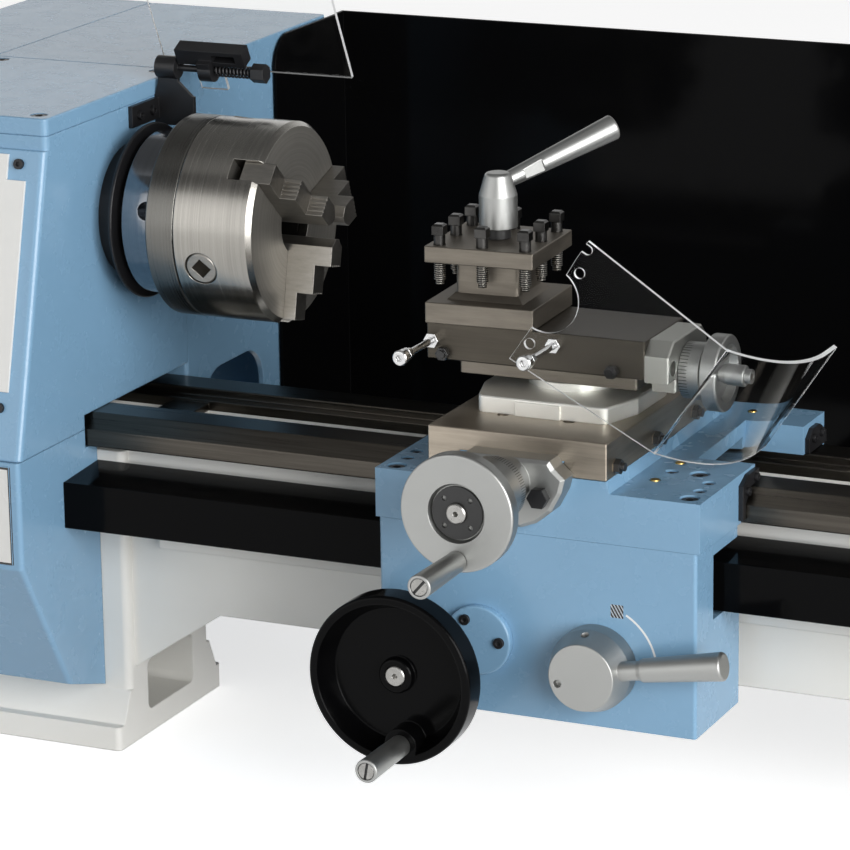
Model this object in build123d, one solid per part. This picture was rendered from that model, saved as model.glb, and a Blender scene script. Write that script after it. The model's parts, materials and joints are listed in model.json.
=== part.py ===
from build123d import *
import math
import os

os.makedirs("parts", exist_ok=True)

# Frame: +X along the spindle towards the tailstock, +Y to the rear, +Z up, in mm.
# The origin is on the bench plane, in the middle of the bench bolt pattern.

# Clearances
RUN = 0.05
SLIDE = 0.15
LOOSE = 0.4
SEAM = 0.3

# Bench bolts and feet
BOLT_SPACING_X = 910.0
BOLT_SPACING_Y = 36.0
BOLT_HOLE_R = 5.5
PEDESTAL_LENGTH = 154.0
PEDESTAL_HALF = 54.0
FOOT_HALF = 70.0
FOOT_THICK = 15.5
SKIRT_TOP = 36.0
WINDOW_HALF = 31.0
WINDOW_TOP = 50.0
WINDOW_DEPTH = 110.0

# Bed and ways
BED_END = BOLT_SPACING_X / 2 + PEDESTAL_LENGTH / 2
BED_HALF = 67.5
WEB_OUT = 47.0
WEB_IN = 35.0
BED_LOW = 92.0
WAY_LOW = 200.6
WAY_MID = 211.2
WAY_TOP = 220.4
WAY_INNER = 35.0
REAR_TOP = 212.3
GUSSET = 64.0

# Headstock
HEAD_LENGTH = 136.0
HEAD_X = -BED_END + HEAD_LENGTH
HEAD_FRONT_TOP = (-104.5, 395.5)
HEAD_FRONT_LOW = (-150.0, 211.5)
HEAD_BACK = 70.2
LID_FRONT = -102.5
LID_LOW = 404.3
LID_TOP = 415.3
LID_SCREW_INSET = 10.5
LID_SCREW_R = 5.0

# Spindle and chuck
SPINDLE_Z = 339.0
SPINDLE_R = 30.0
SPINDLE_BORE_R = 13.0
SPINDLE_TAIL_R = 21.0
SPINDLE_PROUD = 6.0
CAP_LENGTH = 16.3
CAP_LIP = 2.5
CAP_R = 55.4
CAP_BASE_R = 42.0
NOSE_START = 21.4
NOSE_END = 44.0
NOSE_R = 51.4
CHUCK_R = 63.0
BACKPLATE_LENGTH = 19.6
CHUCK_LENGTH = 52.2
CHUCK_BORE_R = 19.0
CHUCK_CHAMFER = 3.0
JAW_WIDTH = 14.0
JAW_ANGLES = (138.0, 18.0, -102.0)
SLOT_DEPTH = 20.0
JAW_BASE = 13.0
JAW_STEPS = ((25.0, 30.0), (43.0, 19.0), (60.0, 8.0))
JAW_TIP_R = 8.0
JAW_GROOVE = 0.8
JAW_GROOVES = (-4.2, -1.4, 1.4, 4.2)
STUD_HOLE_ANGLES = (167.0, 47.0, -73.0)
PINION_R = 10.5
PINION_BACK = 35.3
PINION_INNER = 38.0
KEY_SQUARE = 9.5

# Carriage
SADDLE_X0 = HEAD_X + 232.4
SADDLE_X1 = HEAD_X + 436.4
SADDLE_FRONT = -135.2
SADDLE_REAR = 78.0
SADDLE_TOP = 230.2
SADDLE_LOW = 200.3
WING = 36.0
APRON_FRONT = SADDLE_FRONT
APRON_INSET = 2.0
APRON_WALL = -108.0
APRON_REAR = -64.8
APRON_LOW = 88.2
NOTCH_LOW = 152.9
NOTCH_TOP = 192.0

# Leadscrew and its cover
LEAD_R = 9.0
LEAD_Y = -72.0
LEAD_Z = 170.0
COVER_FRONT = -98.7
COVER_BACK = -54.3
COVER_LOW = 155.6
COVER_SHEET = 2.0

# Cross slide and its screw
CROSS_X = HEAD_X + 323.0
CROSS_HALF = 56.1
CROSS_LOW = 237.45
CROSS_TOP = 260.0
CROSS_LENGTH = 190.0
DOVE_TOP = 247.0
DOVE_RUN = 5.5
DOVE_HALF = 36.1
GIB = 6.0
CROSS_SCREW_R = 6.0
CROSS_SCREW_Z = 236.2
CROSS_WHEEL_R = 34.6
CROSS_WHEEL_FACE = -220.8
CROSS_WHEEL_THICK = 9.7
CROSS_HUB_R = 15.5
CROSS_DIAL_R = 19.5
CROSS_BOSS_R = 14.8
CROSS_GRIP_DROP = 28.0

# Carriage handwheel
HAND_X = HEAD_X + 262.9
HAND_Z = 117.9
HAND_R = 51.5
HAND_FACE = APRON_FRONT - 51.2
HAND_DEPTH = 17.8
HAND_SHAFT_R = 6.4
HAND_GRIP = (7.1, -38.6)
RACK_PINION_R = 17.0
RACK_HEIGHT = 7.5
GRIP_AXLE_R = 3.0

# Half nut lever
NUT_X = HEAD_X + 373.0
NUT_Z = 125.9
NUT_LIFT = 5.0
NUT_HUB_R = 25.0
NUT_HUB_FACE_R = 20.0
NUT_HUB_LENGTH = 25.5

# Compound slide
SWIVEL_X = CROSS_X
SWIVEL_Y = -43.0
PLATE_TOP = 270.0
SWIVEL_LOW = 274.8
BASE_TOP = 282.3
TOP_LOW = 282.45
TOP_TOP = 305.6
TOP_X0 = HEAD_X + 239.0
TOP_X1 = HEAD_X + 378.5
TOP_FRONT = -74.0
TOP_BACK = -11.5
TOP_SCREW_R = 5.0
TOP_SCREW_Z = 283.0
TOP_DIAL_R = 17.0
TOP_WHEEL_R = 22.8
TOP_WHEEL_THICK = 10.4
TOP_GRIP_OFFSET = (-14.0, 3.7)
TOP_GRIP_R = 6.3
TOP_GRIP_LENGTH = 19.6

# Tool post
POST_X = HEAD_X + 273.4
POST_Y = -45.0
POST_SIDE = 68.3
POST_TURN = 2.8
POST_LOW = TOP_TOP + SLIDE
POST_BLOCK_TOP = 318.5
POST_PLATE_LOW = 342.5
POST_TOP = 352.5
POST_BOLT_PITCH = 27.0
POST_WAIST = 40.0
POST_FLARE = 4.0
TOOL_BOLT_R = 3.5
TOOL_BOLT_HEAD = 7.2
STUD_R = 5.0
HUB_R = 11.5
LEVER_AZIMUTH = 48.0
LEVER_RISE = 20.0
LEVER_ROOT_R = 4.6
LEVER_END_R = 7.8
LEVER_FLAT_LENGTH = 13.0
LEVER_FLAT_INSET = 0.3
LEVER_LENGTH = 81.4

# Chip shield and the two long screws that carry it
SCREW_RIGHT = (HEAD_X + 322.4, 298.9)
SCREW_LEFT = (HEAD_X + 243.6, 294.5)
LONG_SCREW_R = 2.2
SHIELD_Y = -116.3
SHIELD_THICK = 2.5
LIP_R = 121.0
LIP_REACH = 103.0
SHIELD_SWING = 122.0

# Chuck guard
GUARD_Y = 38.0
GUARD_Z = 423.3
GUARD_LIFT = 63.0
GUARD_SHAFT_R = 2.2
GUARD_NUT_R = 6.2
GUARD_NUT_LENGTH = 9.0
GUARD_KNUCKLE = (34.0, 43.0)
GUARD_SHEET = 2.5
GUARD_FLAT = 70.0
GUARD_ARC_R = 70.0
GUARD_ARC = 60.0
GUARD_SKIRT = 40.0
GUARD_OFFSET = 8.0
SPRING_R = 3.4
SPRING_WIRE_R = 0.7
SPRING_PITCH = 2.5
SPRING_TURNS = 10
SPRING_START = GUARD_KNUCKLE[1] + LOOSE
SPRING_LENGTH = SPRING_PITCH * SPRING_TURNS + 2 * SPRING_WIRE_R

# Housings and sheet guards
SHEET = 4.0
REAR_END = 288.0
REAR_LOW = 40.0
COVER_LENGTH = 92.0
SPLASH_Y = 308.0
SPLASH_SHEET = 2.0
SPLASH_LOW = 60.0
SPLASH_TOP = 414.0
SPLASH_WING = 203.0

# Tailstock
TAIL_X0 = BED_END - 143.0
TAIL_LENGTH = 110.0
BARREL_R = 27.0
QUILL_R = 15.0
QUILL_OUT = 17.0
TAIL_WHEEL_R = 40.0
TAIL_SHAFT_R = 8.0


def ccw(points):
    """The same outline, counter-clockwise."""
    area = sum(a[0] * b[1] - b[0] * a[1] for a, b in zip(points, points[1:] + points[:1]))
    return points if area > 0 else points[::-1]


def box(x0, x1, y0, y1, z0, z1):
    """A block between two corners."""
    middle = Pos((x0 + x1) / 2, (y0 + y1) / 2, (z0 + z1) / 2)
    return middle * Box(x1 - x0, y1 - y0, z1 - z0)


def along_x(points, x0, x1):
    """An outline in (Y, Z), drawn from x0 to x1."""
    plane = Plane(origin=(x0, 0, 0), x_dir=(0, 1, 0), z_dir=(1, 0, 0))
    return extrude(plane * Polygon(*ccw(points), align=None), x1 - x0)


def along_y(points, y0, y1):
    """An outline in (X, Z), drawn from y0 to y1."""
    plane = Plane(origin=(0, y1, 0), x_dir=(1, 0, 0), z_dir=(0, -1, 0))
    return extrude(plane * Polygon(*ccw(points), align=None), y1 - y0)


def along_z(points, z0, z1):
    """An outline in (X, Y), drawn from z0 to z1."""
    return extrude(Pos(0, 0, z0) * Polygon(*ccw(points), align=None), z1 - z0)


def rod_x(x0, x1, y, z, r, r_end=None):
    """A round bar along X, tapered when r_end is given."""
    place = Pos((x0 + x1) / 2, y, z) * Rot(Y=90)
    return place * (Cylinder(r, x1 - x0) if r_end is None else Cone(r, r_end, x1 - x0))


def rod_y(y0, y1, x, z, r, r_front=None):
    """A round bar along Y; r_front is the radius at its front end, y0."""
    place = Pos(x, (y0 + y1) / 2, z) * Rot(X=90)
    return place * (Cylinder(r, y1 - y0) if r_front is None else Cone(r, r_front, y1 - y0))


def rod_z(z0, z1, x, y, r, r_top=None):
    """A round bar along Z, tapered when r_top is given."""
    place = Pos(x, y, (z0 + z1) / 2)
    return place * (Cylinder(r, z1 - z0) if r_top is None else Cone(r, r_top, z1 - z0))


def hex_x(x0, x1, y, z, r):
    """A hexagon bar along X."""
    return Pos(x0, y, z) * Rot(Y=90) * extrude(RegularPolygon(r, 6), x1 - x0)


def hex_y(y0, y1, x, z, r):
    """A hexagon bar along Y."""
    return Pos(x, y1, z) * Rot(X=90) * extrude(RegularPolygon(r, 6), y1 - y0)


def about_spindle(shape, angle):
    """Turn a shape about the X axis and lift it to the spindle line."""
    return Pos(0, 0, SPINDLE_Z) * Rot(X=angle) * shape


def group(solids):
    """Separate solids kept in one node."""
    return Compound(children=[s for s in solids])


# Bed

def pedestal(side):
    """One hollow foot of the bed; side is -1 at the headstock and 1 at the tailstock."""
    outer = side * BED_END
    inner = side * (BED_END - PEDESTAL_LENGTH)
    x0, x1 = min(outer, inner), max(outer, inner)
    core = box(x0, x1, -PEDESTAL_HALF, PEDESTAL_HALF, 0, WAY_LOW - 6)
    core = fillet(core.edges().filter_by(Axis.Z), 5)
    foot = box(x0, x1, -FOOT_HALF, FOOT_HALF, 0, FOOT_THICK)
    foot = fillet(foot.edges().filter_by(Axis.Z), 4)
    skirt_half = PEDESTAL_HALF + 9.5
    skirt = along_x([(-skirt_half, FOOT_THICK), (skirt_half, FOOT_THICK),
                     (PEDESTAL_HALF, SKIRT_TOP), (-PEDESTAL_HALF, SKIRT_TOP)], x0, x1)
    gusset = along_y([(inner, WINDOW_TOP), (inner - side * GUSSET, BED_LOW + 1), (inner, BED_LOW + 1)],
                     -WEB_OUT, WEB_OUT)
    solid = core + foot + skirt + gusset
    ends = sorted((inner - side, inner + side * WINDOW_DEPTH))
    window = box(*ends, -WINDOW_HALF, WINDOW_HALF, FOOT_THICK, WINDOW_TOP - 1)
    window = fillet(window.edges().filter_by(Axis.X), 5)
    solid -= window
    for sign in (-1, 1):
        solid -= rod_z(-1, FOOT_THICK + 1, side * BOLT_SPACING_X / 2, sign * BOLT_SPACING_Y / 2, BOLT_HOLE_R)
    return solid


def bed_casting():
    """Two rails tied by ribs, on two hollow feet, with the rack bar and the leadscrew lug."""
    front = [(-BED_HALF, WAY_LOW), (-BED_HALF, WAY_MID), (-BED_HALF + WAY_TOP - WAY_MID, WAY_TOP),
             (-WAY_INNER, WAY_TOP), (-WEB_IN, BED_LOW + 12), (-WEB_IN + 11, BED_LOW + 12),
             (-WEB_IN + 11, BED_LOW), (-WEB_OUT, BED_LOW), (-WEB_OUT, WAY_LOW)]
    rear = [(BED_HALF, WAY_LOW), (BED_HALF, REAR_TOP), (44, REAR_TOP), (44, 207), (WEB_IN, 207),
            (WEB_IN, BED_LOW + 12), (WEB_IN - 11, BED_LOW + 12), (WEB_IN - 11, BED_LOW), (WEB_OUT, BED_LOW),
            (WEB_OUT, WAY_LOW)]
    solid = along_x(front, -BED_END, BED_END) + along_x(rear, -BED_END, BED_END)
    solid += pedestal(-1)
    solid += pedestal(1)
    solid += box(HEAD_X + 7, HEAD_X + 33, -WEB_IN - 1, WEB_IN + 1, 100, 205)
    for step in range(5):
        x = HEAD_X + 160 + 140 * step
        solid += box(x - 5, x + 5, -WEB_IN - 1, WEB_IN + 1, 100, 190)
    rack_low = HAND_Z + RACK_PINION_R + 0.7
    solid += box(-BED_END + 180, BED_END - 180, -58, -WEB_OUT + 1, rack_low, rack_low + RACK_HEIGHT)
    lug = box(BED_END - 62, BED_END - 46, LEAD_Y - 18, -WEB_OUT + 1, LEAD_Z - 14, LEAD_Z + 14)
    solid += lug - rod_x(BED_END - 70, BED_END - 40, LEAD_Y, LEAD_Z, LEAD_R + RUN)
    return solid


def leadscrew():
    """Plain bar from the gearbox to the lug at the tailstock end."""
    screw = rod_x(HEAD_X - 20, BED_END - 40, LEAD_Y, LEAD_Z, LEAD_R)
    return chamfer(screw.edges(), 1)


def leadscrew_cover():
    """Bent sheet in front of and above the leadscrew, open below and behind."""
    t = COVER_SHEET
    outline = [(COVER_FRONT, COVER_LOW), (COVER_FRONT, 185.1), (COVER_BACK, 188), (COVER_BACK, 188 - t),
               (COVER_FRONT + t, 185.1 - t), (COVER_FRONT + t, COVER_LOW + t),
               (COVER_FRONT + 8, COVER_LOW + t), (COVER_FRONT + 8, COVER_LOW)]
    return along_x(outline, HEAD_X + 0.2, BED_END - 64)


# Headstock and housings

SLOPE_RUN = HEAD_FRONT_TOP[0] - HEAD_FRONT_LOW[0]
SLOPE_RISE = HEAD_FRONT_TOP[1] - HEAD_FRONT_LOW[1]
SLOPE = math.hypot(SLOPE_RUN, SLOPE_RISE)
SLOPE_OUT = (0, -SLOPE_RISE / SLOPE, SLOPE_RUN / SLOPE)
PANEL = Plane(origin=(HEAD_X, *HEAD_FRONT_TOP), x_dir=(1, 0, 0), z_dir=SLOPE_OUT)
PANEL_RIGHT = -11.5
PANEL_LEFT = 11.5 - HEAD_LENGTH
PANEL_TOP = -3.0
PANEL_LOW = -163.0
PANEL_THICK = 1.6
PANEL_TAB = (13.0, 15.5)
PANEL_SCREW_R = 3.2
KNOB_AT = (-48.0, -122.0)
STOP_AT = (-98.0, -122.0)
KNOB_R = 12.0
STOP_R = 17.0
POST_CONTROL_R = 5.0


def panel_block(u0, u1, v0, v1, w0, w1):
    """A block on the sloped front: u along X, v up the slope, w outwards."""
    return PANEL * box(u0, u1, v0, v1, w0, w1)


def panel_rod(u, v, w0, w1, r, r_top=None):
    """A round piece standing on the sloped front."""
    return PANEL * rod_z(w0, w1, u, v, r, r_top)


def headstock_casting():
    """Box casting with a sloped front, open at the top, bored for the spindle."""
    ledge = HEAD_FRONT_TOP[1]
    outline = [(HEAD_BACK, ledge), HEAD_FRONT_TOP, HEAD_FRONT_LOW, (-BED_HALF - 1.5, HEAD_FRONT_LOW[1]),
               (-BED_HALF - 1.5, WAY_TOP + SEAM), (HEAD_BACK, WAY_TOP + SEAM)]
    solid = along_x(outline, -BED_END, HEAD_X)
    slope = [e for e in solid.edges() if abs(e.center().X - HEAD_X) < 0.1 and e.center().Y < LID_FRONT - 10
             and e.length > 150]
    solid = fillet(slope, 4)
    rim = box(-BED_END, HEAD_X, LID_FRONT, HEAD_BACK, ledge - 1, LID_LOW)
    solid += fillet(rim.edges().filter_by(Axis.Z), 4)
    solid -= box(-BED_END + 14, HEAD_X - 14, -88, 56, 240, LID_LOW + 1)
    solid -= rod_x(-BED_END - 1, HEAD_X + 1, 0, SPINDLE_Z, SPINDLE_R + RUN)
    for u, v in (KNOB_AT, STOP_AT):
        solid -= panel_rod(u, v, -12, 1, POST_CONTROL_R + LOOSE)
    return solid


def lid_screw_places():
    """Middles of the four lid screws."""
    for x in (-BED_END + LID_SCREW_INSET, HEAD_X - LID_SCREW_INSET):
        for y in (LID_FRONT + LID_SCREW_INSET, HEAD_BACK - LID_SCREW_INSET):
            yield x, y


def headstock_lid():
    """Flat lid with four countersunk screws."""
    solid = box(-BED_END, HEAD_X, LID_FRONT, HEAD_BACK, LID_LOW, LID_TOP)
    solid = fillet(solid.edges().filter_by(Axis.Z), 4)
    solid = fillet(solid.faces().sort_by(Axis.Z)[-1].edges(), 1)
    solid = chamfer(solid.faces().sort_by(Axis.Z)[0].edges(), 0.5)
    for x, y in lid_screw_places():
        solid -= rod_z(LID_TOP - 3.2, LID_TOP + 1, x, y, LID_SCREW_R + SEAM)
    return solid


def socket_head(r, height):
    """A round screw head with a hexagon socket, standing on the XY plane."""
    head = Pos(0, 0, height / 2) * Cylinder(r, height)
    return head - Pos(0, 0, height * 0.4) * extrude(RegularPolygon(r * 0.5, 6), height)


def panel_screw_places():
    """Middles of the four panel screws, in the tabs at the corners."""
    for u in (PANEL_LEFT + 5.5, PANEL_RIGHT - 5.5):
        for v in (PANEL_LOW + 5.5, PANEL_TOP - 5.5):
            yield u, v


def headstock_screws():
    """Lid screws, panel screws and the two screws of the guard bracket."""
    heads = [Pos(x, y, LID_TOP - 3.2) * socket_head(LID_SCREW_R, 2.9) for x, y in lid_screw_places()]
    heads += [PANEL * Pos(u, v, 0) * socket_head(PANEL_SCREW_R, 2.4) for u, v in panel_screw_places()]
    for y in (10.0, 27.0):
        heads.append(Pos(HEAD_X + 3, y, 397) * Rot(Y=90) * socket_head(3.2, 2.4))
    return group(heads)


def control_panel():
    """Plain white plate on the sloped front, clipped at its corners, with a blank display bezel."""
    solid = panel_block(PANEL_LEFT, PANEL_RIGHT, PANEL_LOW, PANEL_TOP, 0, PANEL_THICK)
    for u in (PANEL_LEFT, PANEL_RIGHT):
        for v in (PANEL_LOW, PANEL_TOP):
            solid -= panel_block(u - PANEL_TAB[0], u + PANEL_TAB[0], v - PANEL_TAB[1], v + PANEL_TAB[1], -1, 3)
    solid += panel_block(PANEL_LEFT + 26, PANEL_RIGHT - 26, -66, -36, 0, PANEL_THICK + 1.2)
    solid -= panel_block(PANEL_LEFT + 29, PANEL_RIGHT - 29, -63, -39, PANEL_THICK, 4)
    for u, v in (KNOB_AT, STOP_AT):
        solid -= panel_rod(u, v, -1, 3, POST_CONTROL_R + LOOSE)
    return solid


def speed_knob():
    """Round knob with a pointer groove and its post."""
    solid = panel_rod(*KNOB_AT, 3, 16, KNOB_R, KNOB_R - 1.5) + panel_rod(*KNOB_AT, -10, 3.5, POST_CONTROL_R)
    return solid - panel_block(KNOB_AT[0] - 0.8, KNOB_AT[0] + 0.8, KNOB_AT[1], KNOB_AT[1] + KNOB_R + 1, 15, 17)


def stop_button():
    """Mushroom head that is pushed in, and its stem."""
    head = panel_rod(*STOP_AT, 8, 15, STOP_R)
    head = fillet(head.edges(), 2.5)
    return head + panel_rod(*STOP_AT, -6, 9, POST_CONTROL_R)


LOWER_OUTLINE = [(-152, HEAD_FRONT_LOW[1] - SEAM), (-152, 142.6), (-99, 52.5), (-PEDESTAL_HALF - LOOSE, 38.4),
                 (-PEDESTAL_HALF - LOOSE, WAY_LOW - 1), (-BED_HALF - 1.5, WAY_LOW - 1),
                 (-BED_HALF - 1.5, HEAD_FRONT_LOW[1] - SEAM)]


def inset(points, amount):
    """A smaller outline: every point moved towards the middle of the outline's box."""
    ys = [p[0] for p in points]
    zs = [p[1] for p in points]
    my = (min(ys) + max(ys)) / 2
    mz = (min(zs) + max(zs)) / 2
    ky = 1 - 2 * amount / (max(ys) - min(ys))
    kz = 1 - 2 * amount / (max(zs) - min(zs))
    return [(my + (y - my) * ky, mz + (z - mz) * kz) for y, z in points]


def lower_housing():
    """Hollow gearbox housing under the headstock front, with a blank plate on its face."""
    solid = along_x(LOWER_OUTLINE, -BED_END, HEAD_X)
    edges = [e for e in solid.edges() if abs(e.center().X - HEAD_X) < 0.1 and e.center().Y < -100
             and e.center().Z < 200]
    solid = fillet(edges, 3)
    solid -= along_x(inset(LOWER_OUTLINE, SHEET), -BED_END - 1, HEAD_X - SHEET)
    solid -= rod_x(HEAD_X - 30, HEAD_X + 1, LEAD_Y, LEAD_Z, LEAD_R + RUN)
    return solid + box(-BED_END + 7, HEAD_X - 6.7, -152.8, -151.5, 146.2, 209)


def rear_housing():
    """Sheet housing behind the headstock for the motor and the switchgear, open below."""
    y0 = HEAD_BACK
    solid = box(-BED_END, HEAD_X - 1, y0, REAR_END, REAR_LOW, LID_TOP)
    solid = fillet(solid.edges().filter_by(Axis.Z), 3)
    solid -= box(-BED_END + SHEET, HEAD_X - 1 - SHEET, y0 + SHEET, REAR_END - SHEET,
                 REAR_LOW - 1, LID_TOP - SHEET)
    arch = box(HEAD_X - 20, HEAD_X + 1, 93, 180, REAR_LOW - 1, 207)
    return solid - fillet(arch.edges().filter_by(Axis.X), 25)


def end_cover():
    """Hollow cover over the change gears at the left end, with a hole for the spindle's tail."""
    outline = [(LID_FRONT, LID_TOP), HEAD_FRONT_TOP, HEAD_FRONT_LOW, (-152, 142.6), (-99, 52.5), (-54, 38.4),
               (REAR_END, 38.4), (REAR_END, LID_TOP)]
    right = -BED_END
    solid = along_x(outline, right - COVER_LENGTH, right)
    solid = fillet(solid.faces().sort_by(Axis.X)[0].edges(), 5)
    solid = chamfer(solid.faces().sort_by(Axis.X)[-1].edges(), 1)
    solid -= along_x(inset(outline, SHEET), right - COVER_LENGTH + SHEET, right + 1)
    return solid - rod_x(right - COVER_LENGTH - 1, right, 0, SPINDLE_Z, SPINDLE_TAIL_R + 1.5)


def splash_guard():
    """Bent sheet behind the work: a back panel, a wing at the headstock and two struts to the bed."""
    x0 = HEAD_X + 0.5
    t = SPLASH_SHEET
    back = box(x0, BED_END - 40, SPLASH_Y, SPLASH_Y + t, SPLASH_LOW, SPLASH_TOP)
    wing = box(x0, x0 + t, SPLASH_WING, SPLASH_Y + t, SPLASH_LOW, SPLASH_TOP)
    corner = [e for e in wing.edges().filter_by(Axis.X)
              if e.center().Y < SPLASH_WING + 1 and e.center().Z > SPLASH_TOP - 1]
    solid = back + fillet(corner, 22)
    for x in (-60, 300):
        solid += box(x, x + 30, WEB_OUT, SPLASH_Y + 1, 110, 113)
        solid += box(x, x + 30, WEB_OUT, WEB_OUT + 3, 100, 130)
    return solid


# Spindle and chuck

CHUCK_BACK = HEAD_X + NOSE_END
CHUCK_SEAM = CHUCK_BACK + BACKPLATE_LENGTH
CHUCK_FACE = CHUCK_SEAM + CHUCK_LENGTH


def bearing_cap():
    """Black cap round the spindle, with a lip at its front."""
    lip_back = HEAD_X + CAP_LENGTH - CAP_LIP
    solid = rod_x(HEAD_X, lip_back, 0, SPINDLE_Z, CAP_BASE_R)
    lip = rod_x(lip_back, HEAD_X + CAP_LENGTH, 0, SPINDLE_Z, CAP_R)
    solid += fillet(lip.edges(), 0.8)
    return solid - rod_x(HEAD_X - 1, HEAD_X + CAP_LENGTH + 1, 0, SPINDLE_Z, SPINDLE_R + 1)


def spindle():
    """Hollow shaft from the end cover to a flange nose that is drilled for the chuck studs."""
    tail = -BED_END - COVER_LENGTH - SPINDLE_PROUD
    solid = rod_x(-BED_END - 20, HEAD_X + NOSE_START + 1, 0, SPINDLE_Z, SPINDLE_R)
    solid += rod_x(tail, -BED_END - 19, 0, SPINDLE_Z, SPINDLE_TAIL_R)
    solid += rod_x(HEAD_X + NOSE_START, CHUCK_BACK, 0, SPINDLE_Z, NOSE_R)
    solid -= rod_x(tail - 1, CHUCK_BACK + 1, 0, SPINDLE_Z, SPINDLE_BORE_R)
    for angle in STUD_HOLE_ANGLES:
        solid -= about_spindle(rod_y(36, 60, HEAD_X + 38, 0, 5.75), angle)
    return solid


def chuck_backplate():
    """Adapter plate between the nose and the chuck."""
    solid = rod_x(CHUCK_BACK, CHUCK_SEAM - 0.6, 0, SPINDLE_Z, CHUCK_R)
    solid = fillet(solid.edges(), 0.8)
    solid += rod_x(CHUCK_BACK, CHUCK_SEAM, 0, SPINDLE_Z, CHUCK_R - 2)
    return solid - rod_x(CHUCK_BACK - 1, CHUCK_SEAM + 1, 0, SPINDLE_Z, CHUCK_BORE_R)


def chuck_body():
    """Three-jaw chuck body with its slots and the holes of the key pinions."""
    solid = rod_x(CHUCK_SEAM, CHUCK_FACE, 0, SPINDLE_Z, CHUCK_R)
    solid = chamfer(solid.edges().group_by(Axis.X)[-1], CHUCK_CHAMFER)
    solid -= rod_x(CHUCK_SEAM - 1, CHUCK_FACE + 1, 0, SPINDLE_Z, CHUCK_BORE_R)
    half = JAW_WIDTH / 2 + SLIDE
    for angle in JAW_ANGLES:
        solid -= about_spindle(box(CHUCK_FACE - SLOT_DEPTH, CHUCK_FACE + 1, 0, CHUCK_R + 1, -half, half), angle)
        hole = rod_y(PINION_INNER - 0.5, CHUCK_R + 1, CHUCK_FACE - PINION_BACK, 0, PINION_R + LOOSE)
        solid -= about_spindle(hole, angle + 60)
    return solid


def chuck_jaw(angle):
    """Stepped jaw with a pointed tip and grooves along its outer steps."""
    base = CHUCK_FACE - JAW_BASE
    (r1, h1), (r2, h2), (r3, h3) = JAW_STEPS
    side = [(base, JAW_TIP_R), (CHUCK_FACE + h1, JAW_TIP_R), (CHUCK_FACE + h1, r1), (CHUCK_FACE + h2, r1),
            (CHUCK_FACE + h2, r2), (CHUCK_FACE + h3, r2), (CHUCK_FACE + h3, r3), (base, r3)]
    half = JAW_WIDTH / 2
    solid = along_z(side, -half, half)
    plan = [(JAW_TIP_R, -2), (JAW_TIP_R, 2), (JAW_TIP_R + 5, half), (r3, half), (r3, -half),
            (JAW_TIP_R + 5, -half)]
    solid &= along_x(plan, base - 1, CHUCK_FACE + h1 + 1)
    for r, low, high in ((r1, h2, h1), (r2, h3, h2)):
        for t in JAW_GROOVES:
            solid -= box(CHUCK_FACE + low, CHUCK_FACE + high + 1, r - JAW_GROOVE, r + 1, t - 0.5, t + 0.5)
    return about_spindle(solid, angle)


def chuck_pinion(angle):
    """Key pinion with a square socket."""
    x = CHUCK_FACE - PINION_BACK
    outer = CHUCK_R - 0.6
    solid = chamfer(rod_y(PINION_INNER, outer, x, 0, PINION_R).edges().group_by(Axis.Y)[-1], 1)
    socket = Pos(x, outer - 6, 0) * Rot(Y=45) * Box(KEY_SQUARE, 14, KEY_SQUARE)
    return about_spindle(solid - socket, angle)


# Chuck guard

def at_hinge(shape):
    """Lift a guard piece, drawn shut about the origin, to its raised place on the hinge."""
    return Pos(HEAD_X, GUARD_Y, GUARD_Z) * Rot(X=-GUARD_LIFT) * shape


def guard_bracket():
    """Angle bracket on the headstock with the hinge bolt and its nut."""
    z = GUARD_Z - 19
    solid = box(HEAD_X, HEAD_X + 3, 0.8, GUARD_Y + 1, z - 14, z - 0.5)
    solid += box(HEAD_X, HEAD_X + 28, GUARD_Y - 2, GUARD_Y + 1, z - 18, z + 1)
    solid += along_y([(HEAD_X, z), (HEAD_X + 28, z), (HEAD_X + 17, z + 10), (HEAD_X + 17, GUARD_Z),
                      (HEAD_X + 3, GUARD_Z), (HEAD_X + 3, z + 10)], GUARD_Y - 2, GUARD_Y + 1)
    solid += rod_x(HEAD_X + 3, HEAD_X + 17, GUARD_Y, GUARD_Z, 7.2)
    nut = HEAD_X + SPRING_START + SPRING_LENGTH + LOOSE
    solid += rod_x(HEAD_X + 3, nut + GUARD_NUT_LENGTH, GUARD_Y, GUARD_Z, GUARD_SHAFT_R)
    return solid + hex_x(nut, nut + GUARD_NUT_LENGTH, GUARD_Y, GUARD_Z, GUARD_NUT_R)


def guard_block():
    """Clamp block that turns on the hinge bolt and holds the sheet."""
    low = GUARD_OFFSET - 0.02
    left, right = GUARD_KNUCKLE
    near = SPRING_R + SPRING_WIRE_R + 0.6
    solid = box(18.5, 66, -near - 11, -near, -2, low)
    solid += box(left, right, -near - 4, 4, -6, low)
    solid += rod_x(left, right, 0, 0, 7.5)
    solid -= box(right + 1, 60, -near - 8, -near - 3, -3, low - 2)
    solid -= rod_x(left - 4, right + 4, 0, 0, GUARD_SHAFT_R + RUN)
    return at_hinge(solid)


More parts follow.
